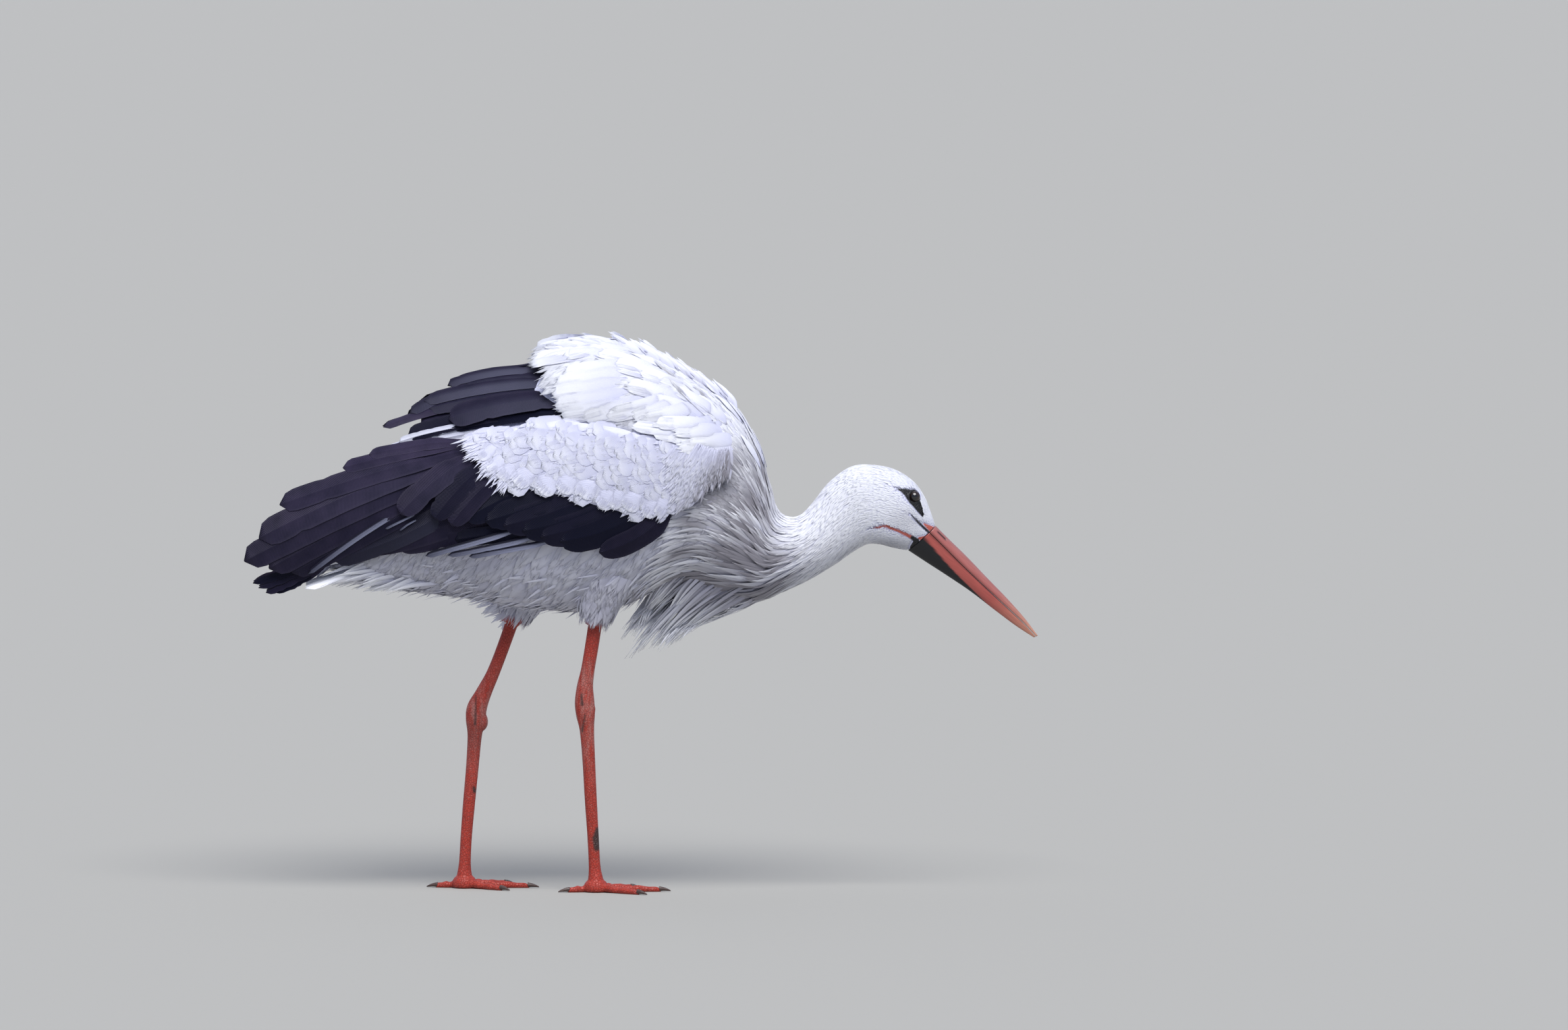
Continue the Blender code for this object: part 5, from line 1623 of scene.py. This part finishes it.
class STORK_OT_wing_coverts(bpy.types.Operator):
    """Make the scalloped white coverts of both wings"""
    bl_idname = "stork.wing_coverts"
    bl_label = "Wing coverts"

    def execute(self, context):
        rng = np.random.default_rng(17)
        # The late fade paints shade at the base of each visible scallop, under the row above.
        material = white_plumage("white_covert_vane", 0.3, 0.5, (0.55, 0.98))
        window = ((0, 280), (-70, 100))
        size = np.array([(0, 0.6), (60, 0.75), (120, 0.95), (276, 1.1)])
        for side, sign in SIDES:
            ground = wing_ground(sign)
            roots = quincunx(ground, (2, 262), (-60, 92), (10.5, 15.0), size, rng, 0.4)
            a, b = roots.T
            inside = (b < at(COVERT_TOP, a) + 4) & (b > at(COVERT_EDGE, a + 20) + 17)
            roots = roots[inside & (a > 34)]
            a, b = roots.T
            gap = b - at(COVERT_EDGE, a)
            slope = -0.12 - 0.6 * (1 - ease(gap / 60)) + 0.16 * wander(a / 30, b / 30, 2)
            length, width = 34 * at(size, a), 11.5 * at(size, a)
            root_depth = 0.9 + 3.5 * (1 - ease((at(COVERT_TOP, a) - b) / 16)) + 2.5 * (1
                    - ease((a - 4) / 14))
            # Their marks hold stain, and painted shade near the armpit.
            plates = grow(ground, roots, window, rng, 7, length * 0.9, width, leaf_width(7, 0.62, 0.5),
                    slope, 0.12,
                          root_depth, 0.1, stain_and_shade, 0.0, 0.1)
            barbs = fringe(ground, roots, window, rng, 6, length * 1.04, width * 0.96, slope, root_depth,
                    0.0, stain_and_shade,
                           0.6, 0.04, 0.06)
            bed = wing_bed(ground, (36, 262), lambda t: at(COVERT_EDGE, t) + 8, lambda t: at(COVERT_TOP,
                    t) - 1, (1.8, 13))
            tufts = [self.end_tufts(ground, window, rng), self.front_fan(ground, window, rng)]
            batches = placed([plates, barbs, bed, *tufts], (0, 0), (1, 0.86))
            batches += placed(self.edge_feathers(rng, side, sign), (0.01, 0.88), (0.99, 0.99))
            feather_piece("wing_coverts_coat_" + side, batches, material, ["wing_coverts_" + side])
        return {"FINISHED"}

    def edge_feathers(self, rng, side, sign):
        """Broad blunt feathers whose tips scallop the lower edge of the coverts."""
        count = len(COVERT_TIPS)
        tip = COVERT_TIPS[:, 0:2]
        lean = np.interp(tip[:, 0], (-170, -130, 20), (0.75, 0.95, 1.2)) + rng.normal(0, 0.06, count)
        ahead = np.stack([np.cos(lean), np.sin(lean)], -1)
        aside = np.stack([ahead[:, 1], -ahead[:, 0]], -1)
        depth = np.where(np.arange(count) < 12, 0.0, 0.9)[:, None]
        columns = [tip + 32 * ahead, tip + 16 * ahead + 2 * aside, tip, COVERT_TIPS[:, 2:3],
                np.zeros((count, 2)), depth]
        return soft_vanes(side_ground(wing_side, sign), np.concatenate(columns, axis=1), rng, sign, 3.0, 0.8,
                          0.5 + (side == "left"), strands=10)

    def front_fan(self, ground, window, rng):
        """Lance-shaped feathers that fan down from the wing's front edge into the armpit."""
        count = 760
        a = 56 * rng.random(count) ** 0.8
        low, high = at(COVERT_EDGE, a) + 18, at(COVERT_TOP, a) + 3 * (1 - ease((a - 30) / 16))
        b = low + (high - low) * rng.random(count)
        streak = rng.uniform(0.45, 1.25, count)[:, None]

        # Stain and painted shade towards the armpit, in streaks that differ from feather to feather.
        def mark(path):
            return np.clip(stain_and_shade(path) * streak + 0.16 * (streak - 0.45), 0, 0.95)

        sunk = 1.2 * (1 - ease((a - 2) / 14)) + rng.uniform(0.3, 2.0, count)
        return grow(ground, np.stack([a, b], -1), window, rng, 7, rng.uniform(20, 32, count),
                    rng.uniform(1.2, 3.0, count), spike_width(7, 0.6, 0.5), -1.1 + 0.4 * ease(a / 50), 0.12,
                    sunk, 0.6,
                    mark, 0.12, section=LEAF, bend=0.6)

    def end_tufts(self, ground, window, rng):
        """Loose narrow feathers that fan out over the black at the hind end of the coverts."""
        count = 90
        share = rng.random(count)
        roots = np.stack([232 + 30 * share + rng.normal(0, 3, count), 36 + 48 * share + rng.normal(0, 3,
                count)], -1)
        return grow(ground, roots, window, rng, 8, 24.0, rng.uniform(0.9, 2.6, count),
                spike_width(8, 0.7, 0.3),
                    -0.75 + 0.5 * share, 0.16, 2.0, 1.4, section=LEAF)


class STORK_OT_wing_flight(bpy.types.Operator):
    """Make the black flight feathers of both wings"""
    bl_idname = "stork.wing_flight"
    bl_label = "Flight feathers"

    def execute(self, context):
        rng = np.random.default_rng(18)
        material = black_plumage("black_flight_feather_vane")
        for side, sign in SIDES:
            batch = long_vanes(side_ground(wing_side, sign), FLIGHT, rng, sign,
                    jitter=0.6 + 1.6 * (side == "left"))
            bed = wing_bed(wing_ground(sign), (90, 430), lambda t: np.interp(t, (90, 150, 280, 430),
                    (-40, -48, -34, 2)),
                           lambda t: np.interp(t, (90, 200, 280, 430), (-20, 50, 66, 50)), (12, 14))
            root, tip = (LOW_TIPS[:, columns] * (1, sign, 1) for columns in ((0, 2, 1), (3, 5, 4)))
            count = len(root)
            normal = np.array((0.1, sign, 0.35)) + rng.normal(0, 0.12, (count, 3))
            tips = straight_vanes(root, tip, LOW_TIPS[:, 6], rng, normal, 3.0, 18, lanes(count, 0.985),
                    np.zeros(count))
            feather_piece("flight_feathers_" + side, [batch, bed, tips], material,
                          ["wing_flight_" + side, "primaries_" + side], "black_feather")
        return {"FINISHED"}


class STORK_OT_scapulars(bpy.types.Operator):
    """Make the long black scapulars over the rump, and the white feathers beneath them"""
    bl_idname = "stork.scapulars"
    bl_label = "Black scapulars"

    def execute(self, context):
        rng = np.random.default_rng(19)
        # The white tertials get much painted shade.
        black, white = black_plumage("black_scapular_vane"), white_plumage("white_tertial_vane", 0.3, 0.9)
        for side, sign in SIDES:
            ground = side_ground(roof_surface, sign)
            batch = long_vanes(ground, SCAPULARS, rng, sign, jitter=0.5 + 1.5 * (side == "left"))
            inner = long_vanes(ground, INNER_SCAPULARS, rng, sign, jitter=1.5)
            bed = wing_bed(ground, (-50, -236), lambda x: np.interp(x, ROOF[:, 0], ROOF[:, 3]) + 6,
                           lambda x: np.interp(x, ROOF[:, 0], ROOF[:, 1]) - 1, (5, 30))
            feather_piece("black_scapulars_" + side, [batch, inner, bed], black, ["scapulars_" + side],
                    "black_feather")
            wedge = long_vanes(ground, WEDGE, rng, sign, jitter=0.5)
            feather_piece("white_tertials_" + side, [wedge], white)
        return {"FINISHED"}


class STORK_OT_tail(bpy.types.Operator):
    """Make the white tail feathers"""
    bl_idname = "stork.tail"
    bl_label = "Tail feathers"

    def execute(self, context):
        """Flat vanes fanned over a gently arched tail: the height falls with the square of the side."""
        rng = np.random.default_rng(20)
        count, rows = 12, 20
        s = np.linspace(0, 1, rows)[None]
        lane = np.linspace(-1, 1, count)[:, None]
        y = lane * (12 + 18 * s)
        z = 398 - 68 * s**0.8 - 3.5 * lane**2 + 0.8 * (1 - np.abs(lane))
        path = np.stack([-210 - 148 * s + 0 * lane, y, z], -1)
        normal = unit(np.stack([0 * y + 0.3, y * 0.01, 1 + 0 * y], -1))
        close = np.sqrt(np.maximum(1 - np.clip((s - 0.9) / 0.1, 0, 1) ** 2, 0.003))
        half = 9.0 * (0.5 + 0.5 * ease(s / 0.3)) * close * (1 - rng.uniform(0, 0.05, (count, rows)))
        points = vanes(path, normal, half, 0.9, 0.08, BLADE)
        quills = pack_feathers(points, BLADE, lanes(count, 0.5), rng.uniform(0, 1, count), np.zeros(count),
                               np.full(count, 150.0), (0.8 / count, 0.94))
        feather_piece("tail_feathers", [quills, self.undertail(rng)],
                white_plumage("white_tail_feather_vane", 0.3), ["tail"])
        return {"FINISHED"}

    def undertail(self, rng):
        """Long soft feathers under the tail, in straight lines that fan out from the vent."""
        count, rows = 170, 9
        s = np.linspace(0, 1, rows)[None, :, None]
        x = rng.uniform(-275, -190, count)
        root = np.stack([x, rng.uniform(-30, 30, count), np.interp(x, (-275, -190), (345, 330))
                + rng.uniform(-4, 16, count)], -1)
        length = rng.uniform(46, 82, count)
        tip = root + np.stack([-length, root[:, 1] * 0.3, -length * rng.uniform(0.02, 0.3, count)], -1)
        tip = np.maximum(tip, (-356, -np.inf, 323))
        path = root[:, None] * (1 - s) + tip[:, None] * s + 3 * UP * np.sin(math.pi * s)
        normal = unit(np.stack([0 * x, root[:, 1] / 26, -0.6 + 0 * x], -1))[:, None] + 0 * path
        half = rng.uniform(2.2, 5.0, count)[:, None] * spike_width(rows, 0.6, 0.5)[None]
        points = vanes(path, normal, half, 0.3, 0.1, LEAF)
        root_uv = np.stack([0.02 + 0.9 * (x + 275) / 85, np.full(count, 0.985)], -1)
        return pack_feathers(points, LEAF, root_uv, rng.uniform(0, 1, count), np.full(count, 0.1), length)


class STORK_OT_stage(bpy.types.Operator):
    """Make the floor, the lights and the camera"""
    bl_idname = "stork.stage"
    bl_label = "Stage"

    def execute(self, context):
        look, scene = context.scene.stork_stage, context.scene
        for part in (self.floor(look), *self.lights(look, scene), self.camera(look, scene)):
            scene.collection.objects.link(part)
        scene.view_settings.view_transform = "Standard"
        return {"FINISHED"}

    def floor(self, look):
        mesh = bpy.data.meshes.new("floor")
        corners = [(x * FLOOR_HALF, y * FLOOR_HALF, 0) for x, y in ((-1, -1), (1, -1), (1, 1), (-1, 1))]
        mesh.from_pydata(corners, [], [(0, 1, 2, 3)])
        floor = bpy.data.objects.new("floor", mesh)
        made, _, shader, _ = new_material("floor_matt_paint")
        fill(shader, {"Base Color": look.floor, "Roughness": 0.9})
        mesh.materials.append(made)
        floor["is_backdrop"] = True
        return floor

    def lights(self, look, scene):
        world = scene.world = bpy.data.worlds.new("soft_box")
        world.use_nodes = True
        fill(world.node_tree.nodes["Background"], {"Color": (0.66, 0.75, 1.0), "Strength": look.sky})
        for name, strength, spread, tilt in (("key", look.sun, 45, (-32, 6)), ("rim", look.sun * 0.08, 60,
                (35, -25))):
            light = bpy.data.lights.new(name, "SUN")
            light.energy, light.angle, light.color = strength, math.radians(spread), (1.0, 0.985, 0.97)
            lamp = bpy.data.objects.new(name, light)
            lamp.rotation_euler = Euler((math.radians(-tilt[0]), math.radians(tilt[1]), 0))
            yield lamp

    def camera(self, look, scene):
        camera = bpy.data.cameras.new("camera")
        camera.sensor_width, camera.clip_end = 36, 200
        camera.lens = camera.sensor_width * look.distance / look.view_width
        holder = scene.camera = bpy.data.objects.new("camera", camera)
        target = Vector((look.centre_x, 0, look.centre_z / math.cos(look.elevation)))
        holder.location = target + Vector((0, -math.cos(look.elevation),
                math.sin(look.elevation))) * look.distance
        holder.rotation_euler = Euler((math.pi / 2 - look.elevation, 0, 0))
        return holder


# ---------------- sidebar and run

class STORK_PT_sidebar(bpy.types.Panel):
    """Lists the settings and the operators in the sidebar"""
    bl_idname = "STORK_PT_sidebar"
    bl_label = "White stork"
    bl_space_type = "VIEW_3D"
    bl_region_type = "UI"
    bl_category = "Stork"

    def draw(self, context):
        for group in (context.scene.stork_plumage, context.scene.stork_bare, context.scene.stork_stage):
            box = self.layout.box()
            for key in group.__annotations__:
                box.prop(group, key)
        for operator in OPERATORS:
            self.layout.operator(operator.bl_idname)


OPERATORS = (
    STORK_OT_stage, STORK_OT_skin, STORK_OT_eyes, STORK_OT_bill, STORK_OT_claws, STORK_OT_head_coat,
    STORK_OT_neck_coat,
    STORK_OT_breast_plume, STORK_OT_mantle_coat, STORK_OT_trunk_coat, STORK_OT_thigh_coat,
    STORK_OT_wing_coverts,
    STORK_OT_wing_flight, STORK_OT_scapulars, STORK_OT_tail,
)
GROUPS = (("stork_plumage", StorkPlumage), ("stork_bare", StorkBare), ("stork_stage", StorkStage))


def register():
    for name, group in GROUPS:
        bpy.utils.register_class(group)
        setattr(bpy.types.Scene, name, PointerProperty(type=group))
    for made in (*OPERATORS, STORK_PT_sidebar):
        bpy.utils.register_class(made)


def unregister():
    for made in (STORK_PT_sidebar, *reversed(OPERATORS)):
        bpy.utils.unregister_class(made)
    for name, group in reversed(GROUPS):
        delattr(bpy.types.Scene, name)
        bpy.utils.unregister_class(group)


def write_sizes():
    """Puts the solids' box and the dressed model's box beside each other as plain lists, which are not kept.
    """
    boxes = {"cad": CAD_BOX, "visual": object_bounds()}
    plain = {key: [list(map(float, corner)) for corner in box] for key, box in boxes.items()}


def main():
    register()
    for operator in OPERATORS:
        group, name = operator.bl_idname.split(".")
        getattr(getattr(bpy.ops, group), name)()
    write_sizes()


if __name__ == "__main__":
    main()
